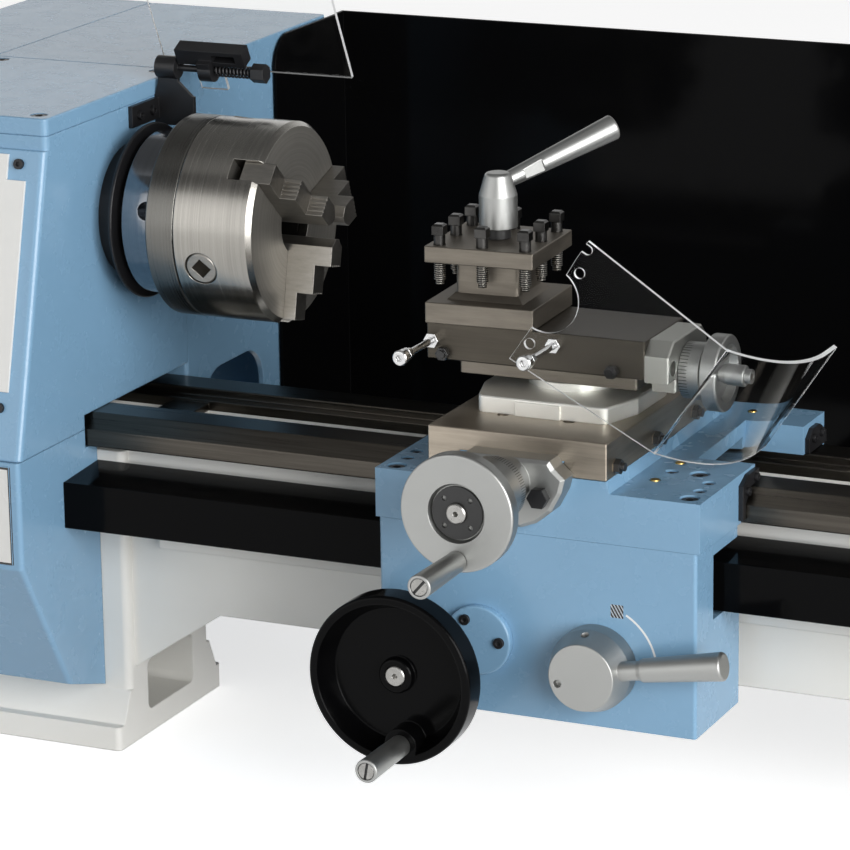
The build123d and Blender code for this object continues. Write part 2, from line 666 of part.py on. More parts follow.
def guard_sheet():
    """Clear sheet: flat over the chuck, curved down in front of it, then flat again."""
    low, high = GUARD_OFFSET, GUARD_OFFSET + GUARD_SHEET
    solid = box(3, 134, -GUARD_FLAT, 5, low, high) + box(24, 43, 0, 22, low, high)
    centre_z = low - GUARD_ARC_R + GUARD_SHEET / 2
    inner, outer = low - centre_z, high - centre_z
    ring = rod_x(3, 134, -GUARD_FLAT, centre_z, outer) - rod_x(2, 135, -GUARD_FLAT, centre_z, inner)
    far = 2 * GUARD_ARC_R
    turn = math.radians(90 - GUARD_ARC)
    wedge = [(-GUARD_FLAT, centre_z), (-GUARD_FLAT, centre_z + far),
             (-GUARD_FLAT - far * math.cos(turn), centre_z + far * math.sin(turn))]
    solid += ring & along_x(wedge, 2, 135)
    skirt = box(3, 134, -GUARD_SKIRT, 0, inner, outer)
    solid += Pos(0, -GUARD_FLAT, centre_z) * Rot(X=GUARD_ARC) * skirt
    return at_hinge(solid)


def biarc(p, q, tp, tq):
    """Two arcs from p to q that leave along tp and arrive along tq."""
    v = q - p
    t = tp + tq
    k = 4 - t.dot(t)
    d = (-v.dot(t) + math.sqrt(v.dot(t) ** 2 + k * v.dot(v))) / k
    middle = (p + tp * d + q - tq * d) * 0.5
    return [TangentArc(p, middle, tangent=tp), TangentArc(middle, q, tangent=(q - tq * d - middle))]


def guard_spring():
    """Coil round the hinge bolt, one tube along half-turn biarcs."""
    start = HEAD_X + SPRING_START + SPRING_WIRE_R
    slope = SPRING_PITCH / (2 * math.pi)

    def point(a):
        return Vector(start + slope * a, GUARD_Y + SPRING_R * math.cos(a), GUARD_Z + SPRING_R * math.sin(a))

    def heading(a):
        return Vector(slope, -SPRING_R * math.sin(a), SPRING_R * math.cos(a)).normalized()

    edges = []
    for half in range(2 * SPRING_TURNS):
        a, b = half * math.pi, (half + 1) * math.pi
        edges += biarc(point(a), point(b), heading(a), heading(b))
    line = Wire(edges)
    samples = [line.position_at(i / 800) for i in range(801)]
    turn = 800 // SPRING_TURNS
    gap = min((samples[i] - samples[j]).length for i in range(801) for j in range(i + turn // 2, 801))
    print("guard spring least gap", round(gap - 2 * SPRING_WIRE_R, 3))
    profile = Plane(origin=point(0), z_dir=heading(0)) * Circle(SPRING_WIRE_R)
    return sweep(profile, path=line)


# Carriage

SLOT_HALF = 12.0
RAISED_TOP = CROSS_LOW - SLIDE
BIG_SCREWS = ((426.2, -124.5), (242.4, -126.0), (414.2, -77.1))
SMALL_SCREWS = ((426.5, -109.3), (425.6, -92.3), (397.2, -78.4), (241.7, -109.2), (240.9, -94.6))
OILERS = ((394.5, -98.3), (395.2, -60.1), (398.0, 60.0))


def saddle():
    """Casting over both ways, cut away between its wings, with the cross dovetail on top."""
    c = SLIDE
    under = [(SADDLE_FRONT, SADDLE_LOW), (SADDLE_FRONT, SADDLE_TOP), (SADDLE_REAR, SADDLE_TOP),
             (SADDLE_REAR, 204), (BED_HALF + LOOSE, 204), (BED_HALF + LOOSE, REAR_TOP + c), (36, REAR_TOP + c),
             (36, WAY_TOP + c), (-BED_HALF + WAY_TOP - WAY_MID - c, WAY_TOP + c),
             (-BED_HALF - LOOSE, WAY_MID + c), (-BED_HALF - LOOSE, SADDLE_LOW)]
    solid = along_x(under, SADDLE_X0, SADDLE_X1)
    solid -= box(SADDLE_X0 - 1, SADDLE_X0 + WING, -45, 40, 200, SADDLE_TOP + 1)
    solid -= box(SADDLE_X1 - WING, SADDLE_X1 + 1, -45, 40, 200, SADDLE_TOP + 1)
    x0, x1 = CROSS_X - CROSS_HALF, CROSS_X + CROSS_HALF
    raised = [(x0 - 2, SADDLE_TOP - 1), (x1 + 2, SADDLE_TOP - 1), (x1 - 0.5, RAISED_TOP),
              (x0 + 0.5, RAISED_TOP)]
    solid += along_y(raised, SADDLE_FRONT, SADDLE_REAR - 6)
    left, right = CROSS_X - DOVE_HALF + SEAM, CROSS_X + DOVE_HALF - GIB - SEAM
    tail = [(left + DOVE_RUN, RAISED_TOP - 1), (left + DOVE_RUN, RAISED_TOP), (left, DOVE_TOP - c),
            (right, DOVE_TOP - c), (right - DOVE_RUN, RAISED_TOP), (right - DOVE_RUN, RAISED_TOP - 1)]
    solid += along_y(tail, SADDLE_FRONT, SADDLE_REAR - 6)
    solid -= box(CROSS_X - SLOT_HALF, CROSS_X + SLOT_HALF, SADDLE_FRONT - 1, SADDLE_REAR, 225, DOVE_TOP + 1)
    for x, y in BIG_SCREWS:
        solid -= rod_z(SADDLE_TOP - 5, SADDLE_TOP + 1, HEAD_X + x, y, 6)
    for x, y in SMALL_SCREWS:
        solid -= rod_z(SADDLE_TOP - 4, SADDLE_TOP + 1, HEAD_X + x, y, 4)
    for x, y in OILERS:
        solid -= rod_z(SADDLE_TOP - 2, SADDLE_TOP + 1, HEAD_X + x, y, 3.4)
    return solid


def saddle_oilers():
    """Brass ball oilers let into the saddle."""
    return group([rod_z(SADDLE_TOP - 2, SADDLE_TOP + 0.6, HEAD_X + x, y, 3.2, 2.6) for x, y in OILERS])


def wiper(x0, x1):
    """Plates that wipe the front and the rear way at one end of the saddle."""
    g = 0.6
    front = [(-BED_HALF - 5, 203), (-BED_HALF - 5, 224), (-62, 228.5), (-46, 228.5), (-46, WAY_TOP + g),
             (-BED_HALF + WAY_TOP - WAY_MID - g, WAY_TOP + g), (-BED_HALF - g, WAY_MID + g),
             (-BED_HALF - g, 203)]
    rear = [(43, REAR_TOP + g), (43, 222), (50, 227), (62, 227), (74, 220), (74, REAR_TOP + g)]
    return [along_x(front, x0, x1), along_x(rear, x0, x1)]


def saddle_wipers():
    """The wipers of both ends."""
    return group(wiper(SADDLE_X1, SADDLE_X1 + 3) + wiper(SADDLE_X0 - 3, SADDLE_X0))


BOSS = (HEAD_X + 299.0, 133.0)
BOSS_R = 21.0
BOSS_SCREW_R = 14.3
BOSS_THICK = 5.0
BRACKET_FACE = SADDLE_FRONT - 15
BRACKET_BOLTS = (CROSS_X - 21, CROSS_X + 21)


def carriage_screws():
    """Cap screws in the saddle, wiper screws, boss screws and the bracket bolts."""
    heads = [Pos(HEAD_X + x, y, SADDLE_TOP - 5) * socket_head(5, 4) for x, y in BIG_SCREWS]
    heads += [Pos(HEAD_X + x, y, SADDLE_TOP - 4) * socket_head(3.2, 3) for x, y in SMALL_SCREWS]
    for angle in (1.5, 121.5, 241.5):
        x = BOSS[0] + BOSS_SCREW_R * math.cos(math.radians(angle))
        z = BOSS[1] + BOSS_SCREW_R * math.sin(math.radians(angle))
        heads.append(Pos(x, APRON_FRONT - BOSS_THICK, z) * Rot(X=90) * socket_head(3.2, 2))
    for x in BRACKET_BOLTS:
        heads.append(hex_y(BRACKET_FACE - 5, BRACKET_FACE, x, 228.7, 6.4))
    for y, z in ((-66, 219.5), (-52, 224.5), (50, 221), (64, 221)):
        heads.append(Pos(SADDLE_X1 + 3, y, z) * Rot(Y=90) * socket_head(2.6, 2))
        heads.append(Pos(SADDLE_X0 - 3, y, z) * Rot(Y=-90) * socket_head(2.6, 2))
    return group(heads)


def apron():
    """C-shaped casting in front of and below the leadscrew cover."""
    outline = [(APRON_FRONT, APRON_LOW), (APRON_FRONT, SADDLE_LOW - 0.1), (-BED_HALF - 1, SADDLE_LOW - 0.1),
               (-BED_HALF - 1, NOTCH_TOP), (APRON_WALL, NOTCH_TOP), (APRON_WALL, NOTCH_LOW),
               (APRON_REAR, NOTCH_LOW), (APRON_REAR, APRON_LOW)]
    solid = along_x(outline, SADDLE_X0 + APRON_INSET, SADDLE_X1 - APRON_INSET)
    solid = fillet(solid.edges().filter_by(Axis.Z).group_by(Axis.Y)[0], 2)
    solid -= rod_y(APRON_FRONT - 1, APRON_REAR + 1, HAND_X, HAND_Z, HAND_SHAFT_R + RUN)
    solid -= rod_y(APRON_FRONT - 1, APRON_FRONT + 36, NUT_X, NUT_Z, 8 + RUN)
    half = 16 + SEAM
    solid -= box(NUT_X - half, NUT_X + half, LEAD_Y - 13 - SEAM, APRON_REAR + 1, 130, NOTCH_LOW + 1)
    return solid


def boss_cover():
    """Round bearing cap on the apron front."""
    solid = rod_y(APRON_FRONT - BOSS_THICK, APRON_FRONT, *BOSS, BOSS_R)
    return fillet(solid.edges().group_by(Axis.Y)[0], 1)


def grip(x, z, y0, y1, r_base, r_tip):
    """Turning handle along Y, bored for its axle, with a recess for the axle's head at the front."""
    solid = rod_y(y0, y1, x, z, r_base, r_tip)
    solid = fillet(solid.edges().group_by(Axis.Y)[0], 1)
    solid -= rod_y(y0 - 1, y1 + 1, x, z, GRIP_AXLE_R + RUN)
    return solid - rod_y(y0 - 1, y0 + 2, x, z, r_tip - 1.8)


def grip_axle(x, z, y0, y1, r_head, slot):
    """Axle of a handle with a slotted head in the handle's recess."""
    solid = rod_y(y0 + 1, y1, x, z, GRIP_AXLE_R)
    head = rod_y(y0 + 0.3, y0 + 1.7, x, z, r_head)
    head -= Pos(x, y0, z) * Rot(Y=-slot) * Box(3 * r_head, 2, 1.4)
    return solid + head


HAND_GRIP_X = HAND_X + HAND_GRIP[0]
HAND_GRIP_Z = HAND_Z + HAND_GRIP[1]
HAND_BACK = HAND_FACE + HAND_DEPTH
HAND_GRIP_Y = (HAND_FACE - 47, HAND_FACE - 0.4)


def carriage_wheel():
    """Dished handwheel with a hub and a boss for the handle."""
    solid = rod_y(HAND_FACE, HAND_BACK, HAND_X, HAND_Z, HAND_R)
    solid = fillet(solid.edges(), 2)
    solid -= rod_y(HAND_FACE - 0.01, HAND_BACK - 4, HAND_X, HAND_Z, HAND_R - 11, HAND_R - 5)
    solid += fillet(rod_y(HAND_FACE + 9, HAND_BACK, HAND_X, HAND_Z, 10.8).edges().group_by(Axis.Y)[0], 2)
    boss = rod_y(HAND_FACE, HAND_BACK - 2, HAND_GRIP_X, HAND_GRIP_Z, 10)
    solid += boss & rod_y(HAND_FACE, HAND_BACK, HAND_X, HAND_Z, HAND_R - 1)
    solid -= rod_y(HAND_FACE - 1, HAND_BACK + 1, HAND_X, HAND_Z, HAND_SHAFT_R + RUN)
    return solid - rod_y(HAND_FACE, HAND_BACK - 2, HAND_GRIP_X, HAND_GRIP_Z, GRIP_AXLE_R + RUN)


def carriage_shaft():
    """Shaft through the apron with the rack pinion, and the axle of the handle."""
    shaft = chamfer(rod_y(HAND_FACE + 8.6, -49, HAND_X, HAND_Z, HAND_SHAFT_R).edges(), 0.8)
    shaft -= rod_y(HAND_FACE + 8, HAND_FACE + 11, HAND_X, HAND_Z, 0.4, 2)
    shaft += rod_y(-62, -49, HAND_X, HAND_Z, RACK_PINION_R)
    axle = grip_axle(HAND_GRIP_X, HAND_GRIP_Z, HAND_GRIP_Y[0], HAND_BACK - 2.5, 4.9, 80)
    return group([shaft, axle])


def carriage_grip():
    """Handle of the carriage wheel."""
    return grip(HAND_GRIP_X, HAND_GRIP_Z, HAND_GRIP_Y[0], HAND_GRIP_Y[1], 6.5, 7.1)


def half_nut_lever():
    """Hub on the apron front with its shaft and its tapered lever."""
    y0 = APRON_FRONT - NUT_HUB_LENGTH
    solid = rod_y(APRON_FRONT - 11, APRON_FRONT - SEAM, NUT_X, NUT_Z, NUT_HUB_R)
    solid += rod_y(y0, APRON_FRONT - 11, NUT_X, NUT_Z, NUT_HUB_R, NUT_HUB_FACE_R)
    solid = fillet(solid.edges().group_by(Axis.Y)[0], 0.8)
    solid += rod_y(APRON_FRONT - 1, APRON_FRONT + 34, NUT_X, NUT_Z, 8)
    rise = math.radians(10.2)
    heading = (math.cos(rise), 0, math.sin(rise))
    bar = Plane(origin=(NUT_X, APRON_FRONT - 15.5, NUT_Z), z_dir=heading)
    lever = rod_z(0, 34, 0, 0, 5.7) + rod_z(33, 36, 0, 0, 5.7, 7) + rod_z(36, 86, 0, 0, 7, 8.5)
    solid += bar * fillet(lever.edges().sort_by(Axis.Z)[-1:], 1.8)
    a = math.radians(199.5)
    solid -= rod_y(y0 - 1, y0 + 4, NUT_X + 15.3 * math.cos(a), NUT_Z + 15.3 * math.sin(a), 2.4)
    return solid - rod_z(NUT_Z + 14, NUT_Z + NUT_HUB_R + 1, NUT_X - 1, APRON_FRONT - 16, 2.4)


def half_nut():
    """Lower half nut, let down from the leadscrew, in its guide in the apron."""
    z = LEAD_Z - NUT_LIFT
    solid = box(NUT_X - 16, NUT_X + 16, LEAD_Y - 13, APRON_REAR - 1, 134, z)
    return solid - rod_x(NUT_X - 17, NUT_X + 17, LEAD_Y, z, LEAD_R + LOOSE)


# Cross slide

def cross_slide():
    """Ground plate with its dovetail groove and the feed nut below it."""
    x0, x1 = CROSS_X - CROSS_HALF, CROSS_X + CROSS_HALF
    y0, y1 = SADDLE_FRONT, SADDLE_FRONT + CROSS_LENGTH
    solid = box(x0, x1, y0, y1, CROSS_LOW, CROSS_TOP)
    solid = chamfer(solid.edges(), 0.6)
    left, right = CROSS_X - DOVE_HALF, CROSS_X + DOVE_HALF
    groove = [(left + DOVE_RUN, CROSS_LOW), (left, DOVE_TOP), (right, DOVE_TOP),
              (right - DOVE_RUN, CROSS_LOW), (right - DOVE_RUN, CROSS_LOW - 1),
              (left + DOVE_RUN, CROSS_LOW - 1)]
    solid -= along_y(groove, y0 - 1, y1 + 1)
    nut = box(CROSS_X - 9, CROSS_X + 9, -75, -45, 226.5, DOVE_TOP + 1)
    solid += nut - rod_y(-76, -44, CROSS_X, CROSS_SCREW_Z, CROSS_SCREW_R + LOOSE)
    for x in (CROSS_X - 24, CROSS_X + 18):
        solid -= rod_z(CROSS_TOP - 2, CROSS_TOP + 1, x, -99, 3.6)
    return solid


def cross_gib():
    """Gib strip in the dovetail and the three screws that set it."""
    right = CROSS_X + DOVE_HALF - 0.1
    z0, z1 = CROSS_LOW + 0.1, DOVE_TOP - 0.1
    left = right - GIB + 0.2
    outline = [(right - DOVE_RUN, z0), (right, z1), (left, z1), (left - DOVE_RUN, z0)]
    solids = [along_y(outline, SADDLE_FRONT + 0.5, SADDLE_FRONT + CROSS_LENGTH - 0.5)]
    side = CROSS_X + CROSS_HALF
    for y in (-122, -59, 4):
        solids.append(hex_x(side, side + 4, y, 243.5, 4.6) + rod_x(side + 3, side + 6.5, y, 243.5, 2.6))
    return group(solids)


def cross_bracket():
    """Bearing bracket of the cross screw on the saddle front."""
    z = CROSS_SCREW_Z
    half = [(26.2, 14), (29.3, 9.6), (35.8, 3.8), (33.6, -4.8), (27.3, -16.3), (17.9, -24), (8.5, -27.5)]
    outline = [(CROSS_X + x, z + h) for x, h in half] + [(CROSS_X - x, z + h) for x, h in half[::-1]]
    solid = along_y(outline, BRACKET_FACE, SADDLE_FRONT)
    solid = chamfer(solid.faces().sort_by(Axis.Y)[0].edges(), 2)
    solid += rod_y(BRACKET_FACE - 14.5, BRACKET_FACE + 1, CROSS_X, z, CROSS_BOSS_R)
    return solid - rod_y(BRACKET_FACE - 20, SADDLE_FRONT + 1, CROSS_X, z, CROSS_SCREW_R + RUN)


CROSS_GRIP_Z = CROSS_SCREW_Z - CROSS_GRIP_DROP
CROSS_GRIP_Y = (CROSS_WHEEL_FACE - 51, CROSS_WHEEL_FACE - 0.4)
CROSS_WHEEL_BACK = CROSS_WHEEL_FACE + CROSS_WHEEL_THICK


def cross_screw():
    """Feed screw with its end at the wheel, and the axle of the handle."""
    screw = chamfer(rod_y(CROSS_WHEEL_FACE - 1, 62, CROSS_X, CROSS_SCREW_Z, CROSS_SCREW_R).edges(), 0.8)
    screw -= rod_y(CROSS_WHEEL_FACE - 2, CROSS_WHEEL_FACE + 2, CROSS_X, CROSS_SCREW_Z, 0.4, 2)
    axle = grip_axle(CROSS_X, CROSS_GRIP_Z, CROSS_GRIP_Y[0], CROSS_WHEEL_BACK - 2, 4.9, 49)
    return group([screw, axle])


def cross_wheel():
    """Solid wheel with a sunk hub, and the dial behind it."""
    x, z = CROSS_X, CROSS_SCREW_Z
    solid = rod_y(CROSS_WHEEL_FACE, CROSS_WHEEL_BACK, x, z, CROSS_WHEEL_R)
    solid = fillet(solid.edges(), 1.5)
    solid -= rod_y(CROSS_WHEEL_FACE - 0.01, CROSS_WHEEL_FACE + 3.5, x, z, CROSS_HUB_R + 0.8, CROSS_HUB_R + 2)
    solid += rod_y(CROSS_WHEEL_FACE + 1.5, CROSS_WHEEL_FACE + 5, x, z, CROSS_HUB_R)
    for angle in (45, 135, 225, 315):
        a = math.radians(angle)
        hole_x, hole_z = x + 11.3 * math.cos(a), z + 11.3 * math.sin(a)
        solid -= rod_y(CROSS_WHEEL_FACE, CROSS_WHEEL_FACE + 4, hole_x, hole_z, 1.5)
    dial = rod_y(CROSS_WHEEL_BACK - 0.5, BRACKET_FACE - 15, x, z, CROSS_DIAL_R)
    solid += chamfer(dial.edges().group_by(Axis.Y)[-1], 1.5)
    solid -= rod_y(CROSS_WHEEL_FACE - 5, BRACKET_FACE, x, z, CROSS_SCREW_R + RUN)
    return solid - rod_y(CROSS_WHEEL_FACE - 1, CROSS_WHEEL_BACK - 1.5, x, CROSS_GRIP_Z, GRIP_AXLE_R + RUN)


def cross_grip():
    """Handle of the cross wheel."""
    return grip(CROSS_X, CROSS_GRIP_Z, CROSS_GRIP_Y[0], CROSS_GRIP_Y[1], 6.3, 7.1)


# Compound slide

def swivel_plate():
    """Clipped plate on the cross slide with a scale pad and the round seat of the compound."""
    cx, cy = SWIVEL_X, -46
    half = [(40.5, -52), (49.5, -22), (49.5, 22), (40.5, 52)]
    outline = [(cx + x, cy + y) for x, y in half] + [(cx - x, cy + y) for x, y in half[::-1]]
    solid = along_z(outline, CROSS_TOP, PLATE_TOP)
    solid = fillet(solid.edges().filter_by(Axis.Z), 6)
    solid = chamfer(solid.faces().sort_by(Axis.Z)[-1].edges(), 0.8)
    solid += box(cx - 16.5, cx + 12, cy - 53.5, cy - 40, CROSS_TOP, PLATE_TOP - 1.5)
    return solid + rod_z(PLATE_TOP - 1, SWIVEL_LOW - 0.1, SWIVEL_X, SWIVEL_Y, 29)


TOP_SCREW_Y = (TOP_FRONT + TOP_BACK) / 2
BASE_X0 = HEAD_X + 259.0
BASE_X1 = HEAD_X + 372.3


def compound_base():
    """Swivelling base with its dovetail and the nut of the top screw."""
    y = TOP_SCREW_Y
    solid = box(BASE_X0, BASE_X1, y - 28, y + 28, SWIVEL_LOW, BASE_TOP)
    solid = chamfer(solid.edges().filter_by(Axis.Z), 1)
    solid += along_x([(y - 14.5, BASE_TOP - 1), (y - 14.5, BASE_TOP), (y - 19, 290), (y + 19, 290),
                      (y + 14.5, BASE_TOP), (y + 14.5, BASE_TOP - 1)], BASE_X0, BASE_X1)
    solid -= box(BASE_X0 + 20, BASE_X1 + 1, y - 7.5, y + 7.5, 276, 291)
    return solid - rod_x(BASE_X0 - 1, BASE_X0 + 21, y, TOP_SCREW_Z, TOP_SCREW_R + LOOSE)


def top_slide():
    """Ground block with a dovetail groove below."""
    y = TOP_SCREW_Y
    solid = box(TOP_X0, TOP_X1, TOP_FRONT, TOP_BACK, TOP_LOW, TOP_TOP)
    solid = chamfer(solid.edges(), 0.6)
    solid -= along_x([(y - 14.8, TOP_LOW - 1), (y - 14.8, TOP_LOW), (y - 19.4, 290.3), (y + 19.4, 290.3),
                      (y + 14.8, TOP_LOW), (y + 14.8, TOP_LOW - 1)], TOP_X0 - 1, TOP_X1 + 1)
    return solid


TOP_BRACKET_END = TOP_X1 + 15


def top_bracket():
    """Bevelled bearing bracket at the end of the top slide."""
    y, z = TOP_SCREW_Y, TOP_SCREW_Z
    outline = [(TOP_FRONT, z - 2), (TOP_FRONT, z + 14), (TOP_FRONT + 9, z + 22), (TOP_BACK - 9, z + 22),
               (TOP_BACK, z + 14), (TOP_BACK, z - 2), (TOP_BACK - 12, z - 2), (TOP_BACK - 12, z - 10),
               (TOP_FRONT + 12, z - 10), (TOP_FRONT + 12, z - 2)]
    solid = along_x(outline, TOP_X1, TOP_BRACKET_END)
    solid = chamfer(solid.faces().sort_by(Axis.X)[-1].edges(), 0.8)
    solid -= rod_x(TOP_BRACKET_END - 6, TOP_BRACKET_END + 1, TOP_FRONT + 8, z + 6, 4.6)
    return solid - rod_x(TOP_X1 - 1, TOP_BRACKET_END + 1, y, z, TOP_SCREW_R + RUN)


TOP_DIAL_END = TOP_BRACKET_END + 14.9
TOP_WHEEL_END = TOP_DIAL_END + TOP_WHEEL_THICK
TOP_GRIP_END = TOP_WHEEL_END + TOP_GRIP_LENGTH
TOP_GRIP_Y = TOP_SCREW_Y + TOP_GRIP_OFFSET[0]
TOP_GRIP_Z = TOP_SCREW_Z + TOP_GRIP_OFFSET[1]
TOP_AXLE_R = 2.2


def top_screw():
    """Feed screw of the top slide, and the axle of its handle."""
    screw = rod_x(BASE_X0 + 3, TOP_WHEEL_END - 5, TOP_SCREW_Y, TOP_SCREW_Z, TOP_SCREW_R)
    axle = rod_x(TOP_WHEEL_END - 6, TOP_GRIP_END - 0.5, TOP_GRIP_Y, TOP_GRIP_Z, TOP_AXLE_R)
    return group([screw, axle])


def top_wheel():
    """Dished wheel and its dial."""
    y, z = TOP_SCREW_Y, TOP_SCREW_Z
    dial = rod_x(TOP_BRACKET_END + 0.3, TOP_DIAL_END - 2.2, y, z, TOP_DIAL_R)
    dial += rod_x(TOP_DIAL_END - 3, TOP_DIAL_END + 1, y, z, TOP_DIAL_R - 3)
    wheel = rod_x(TOP_DIAL_END, TOP_WHEEL_END, y, z, TOP_WHEEL_R)
    wheel = fillet(wheel.edges(), 1.5)
    wheel -= rod_x(TOP_WHEEL_END - 5, TOP_WHEEL_END + 0.01, y, z, 15, 17)
    wheel += rod_x(TOP_WHEEL_END - 6, TOP_WHEEL_END - 0.4, TOP_GRIP_Y, TOP_GRIP_Z, 5.6)
    solid = dial + wheel
    solid -= rod_x(TOP_X1, TOP_WHEEL_END - 4.9, y, z, TOP_SCREW_R + RUN)
    return solid - rod_x(TOP_WHEEL_END - 6.1, TOP_WHEEL_END + 1, TOP_GRIP_Y, TOP_GRIP_Z, TOP_AXLE_R + RUN)


def top_grip():
    """Handle of the top slide wheel, stepped at its end."""
    y, z = TOP_GRIP_Y, TOP_GRIP_Z
    step = TOP_GRIP_END - 3.5
    solid = rod_x(TOP_WHEEL_END, TOP_WHEEL_END + 5, y, z, TOP_GRIP_R - 1.6, TOP_GRIP_R)
    solid += rod_x(TOP_WHEEL_END + 5, step, y, z, TOP_GRIP_R)
    solid = fillet(solid.edges().group_by(Axis.X)[-1], 1)
    solid += rod_x(step, TOP_GRIP_END, y, z, TOP_GRIP_R - 2)
    return solid - rod_x(TOP_WHEEL_END - 1, TOP_GRIP_END + 1, y, z, TOP_AXLE_R + RUN)


# Tool post and shield

def on_post(shape):
    """Turn a tool post piece, drawn about the origin, into place."""
    return Pos(POST_X, POST_Y, 0) * Rot(Z=POST_TURN) * shape


def bolt_places():
    """Middles of the eight tool bolts, round the post."""
    for i in (-1, 0, 1):
        for j in (-1, 0, 1):
            if i or j:
                yield i * POST_BOLT_PITCH, j * POST_BOLT_PITCH


def tool_post():
    """Four-way turret: block, waist and top plate."""
    half = POST_SIDE / 2
    block = box(-half, half, -half, half, POST_LOW, POST_BLOCK_TOP)
    plate = box(-half, half, -half, half, POST_PLATE_LOW, POST_TOP)
    solid = chamfer(block.edges(), 0.5) + chamfer(plate.edges(), 0.5)
    waist = Pos(0, 0, (POST_BLOCK_TOP + POST_PLATE_LOW) / 2)
    waist = waist * Box(POST_WAIST, POST_WAIST, POST_PLATE_LOW - POST_BLOCK_TOP + 2)
    foot = POST_WAIST + 2 * POST_FLARE
    flare = extrude(Pos(0, 0, POST_BLOCK_TOP - 0.1) * Rectangle(foot, foot), POST_FLARE, taper=45)
    solid += fillet(waist.edges().filter_by(Axis.Z), 3) + flare
    solid -= rod_z(POST_LOW - 1, POST_TOP + 1, 0, 0, STUD_R + LOOSE)
    for x, y in bolt_places():
        solid -= rod_z(POST_PLATE_LOW - 1, POST_TOP + 1, x, y, TOOL_BOLT_R + SEAM)
    return on_post(solid)


def tool_bolts():
    """Eight square-headed bolts through the top plate."""
    bolts = []
    for x, y in bolt_places():
        head = Pos(x, y, POST_TOP + 9.4) * Box(TOOL_BOLT_HEAD, TOOL_BOLT_HEAD, 6.4)
        head = chamfer(head.edges().group_by(Axis.Z)[-1], 1.2)
        shank = rod_z(POST_PLATE_LOW - 11, POST_TOP + 7, x, y, TOOL_BOLT_R)
        tip = rod_z(POST_PLATE_LOW - 14, POST_PLATE_LOW - 11, x, y, 2.6)
        bolts.append(on_post(head + shank + tip))
    return group(bolts)


def clamp_lever():
    """Clamp hub with its washer and a tapered lever that rises away from it."""
    z0 = POST_TOP + SEAM
    hub = rod_z(z0 + 6.7, z0 + 26, 0, 0, HUB_R) + rod_z(z0 + 26, z0 + 39.5, 0, 0, HUB_R, HUB_R - 4)
    hub = fillet(hub.edges().group_by(Axis.Z)[-1], 2.5)
    hub += rod_z(z0, z0 + 6.8, 0, 0, HUB_R - 4)
    a, b = math.radians(LEVER_AZIMUTH), math.radians(LEVER_RISE)
    heading = (math.cos(a) * math.cos(b), math.sin(a) * math.cos(b), math.sin(b))
    bar = Plane(origin=(0, 0, z0 + 32), x_dir=(math.sin(a), -math.cos(a), 0), z_dir=heading)
    lever = bar * rod_z(0, LEVER_LENGTH, 0, 0, LEVER_ROOT_R, LEVER_END_R)
    lever = fillet(lever.edges().sort_by(Axis.Z)[-1:], 1.5)
    flat = LEVER_ROOT_R - LEVER_FLAT_INSET
    lever -= bar * box(flat, flat + 20, -20, 20, HUB_R + 5, HUB_R + 5 + LEVER_FLAT_LENGTH)
    solid = hub + lever
    solid -= rod_z(z0 - 1, z0 + 22, 0, 0, STUD_R + LOOSE)
    return Pos(POST_X, POST_Y, 0) * solid


GIB_SCREWS = ((HEAD_X + 250, 286.5), (HEAD_X + 358.4, 286.0))


def top_slide_screws():
    """Post stud, the two long screws of the shield with their nuts, and the gib screws."""
    solids = [rod_z(TOP_TOP, POST_TOP + 20, POST_X, POST_Y, STUD_R)]
    for x, z in (SCREW_LEFT, SCREW_RIGHT):
        bar = rod_y(SHIELD_Y - 3, TOP_FRONT, x, z, LONG_SCREW_R)
        bar += hex_y(TOP_FRONT - 5, TOP_FRONT, x, z, LONG_SCREW_R + 2.6)
        bar += hex_y(SHIELD_Y + 1.8, SHIELD_Y + 6, x, z, LONG_SCREW_R + 1.8)
        head = rod_y(SHIELD_Y - 7, SHIELD_Y - 1.8, x, z, LONG_SCREW_R + 2.5)
        head = fillet(head.edges().group_by(Axis.Y)[0], 1.2)
        solids.append(bar + head - hex_y(SHIELD_Y - 8, SHIELD_Y - 4.5, x, z, LONG_SCREW_R))
    for x, z in GIB_SCREWS:
        nut = hex_y(TOP_FRONT - 4, TOP_FRONT, x, z, 4.2)
        solids.append(nut + rod_y(TOP_FRONT - 6, TOP_FRONT - 3, x, z, 2.6))
    return group(solids)


SCREW_X, SCREW_Z = SCREW_RIGHT
LIP_TOP = (SCREW_X + 122.5, SCREW_Z + 18.4)
LIP_END = (SCREW_X + 78.6, SCREW_Z - 46.7)


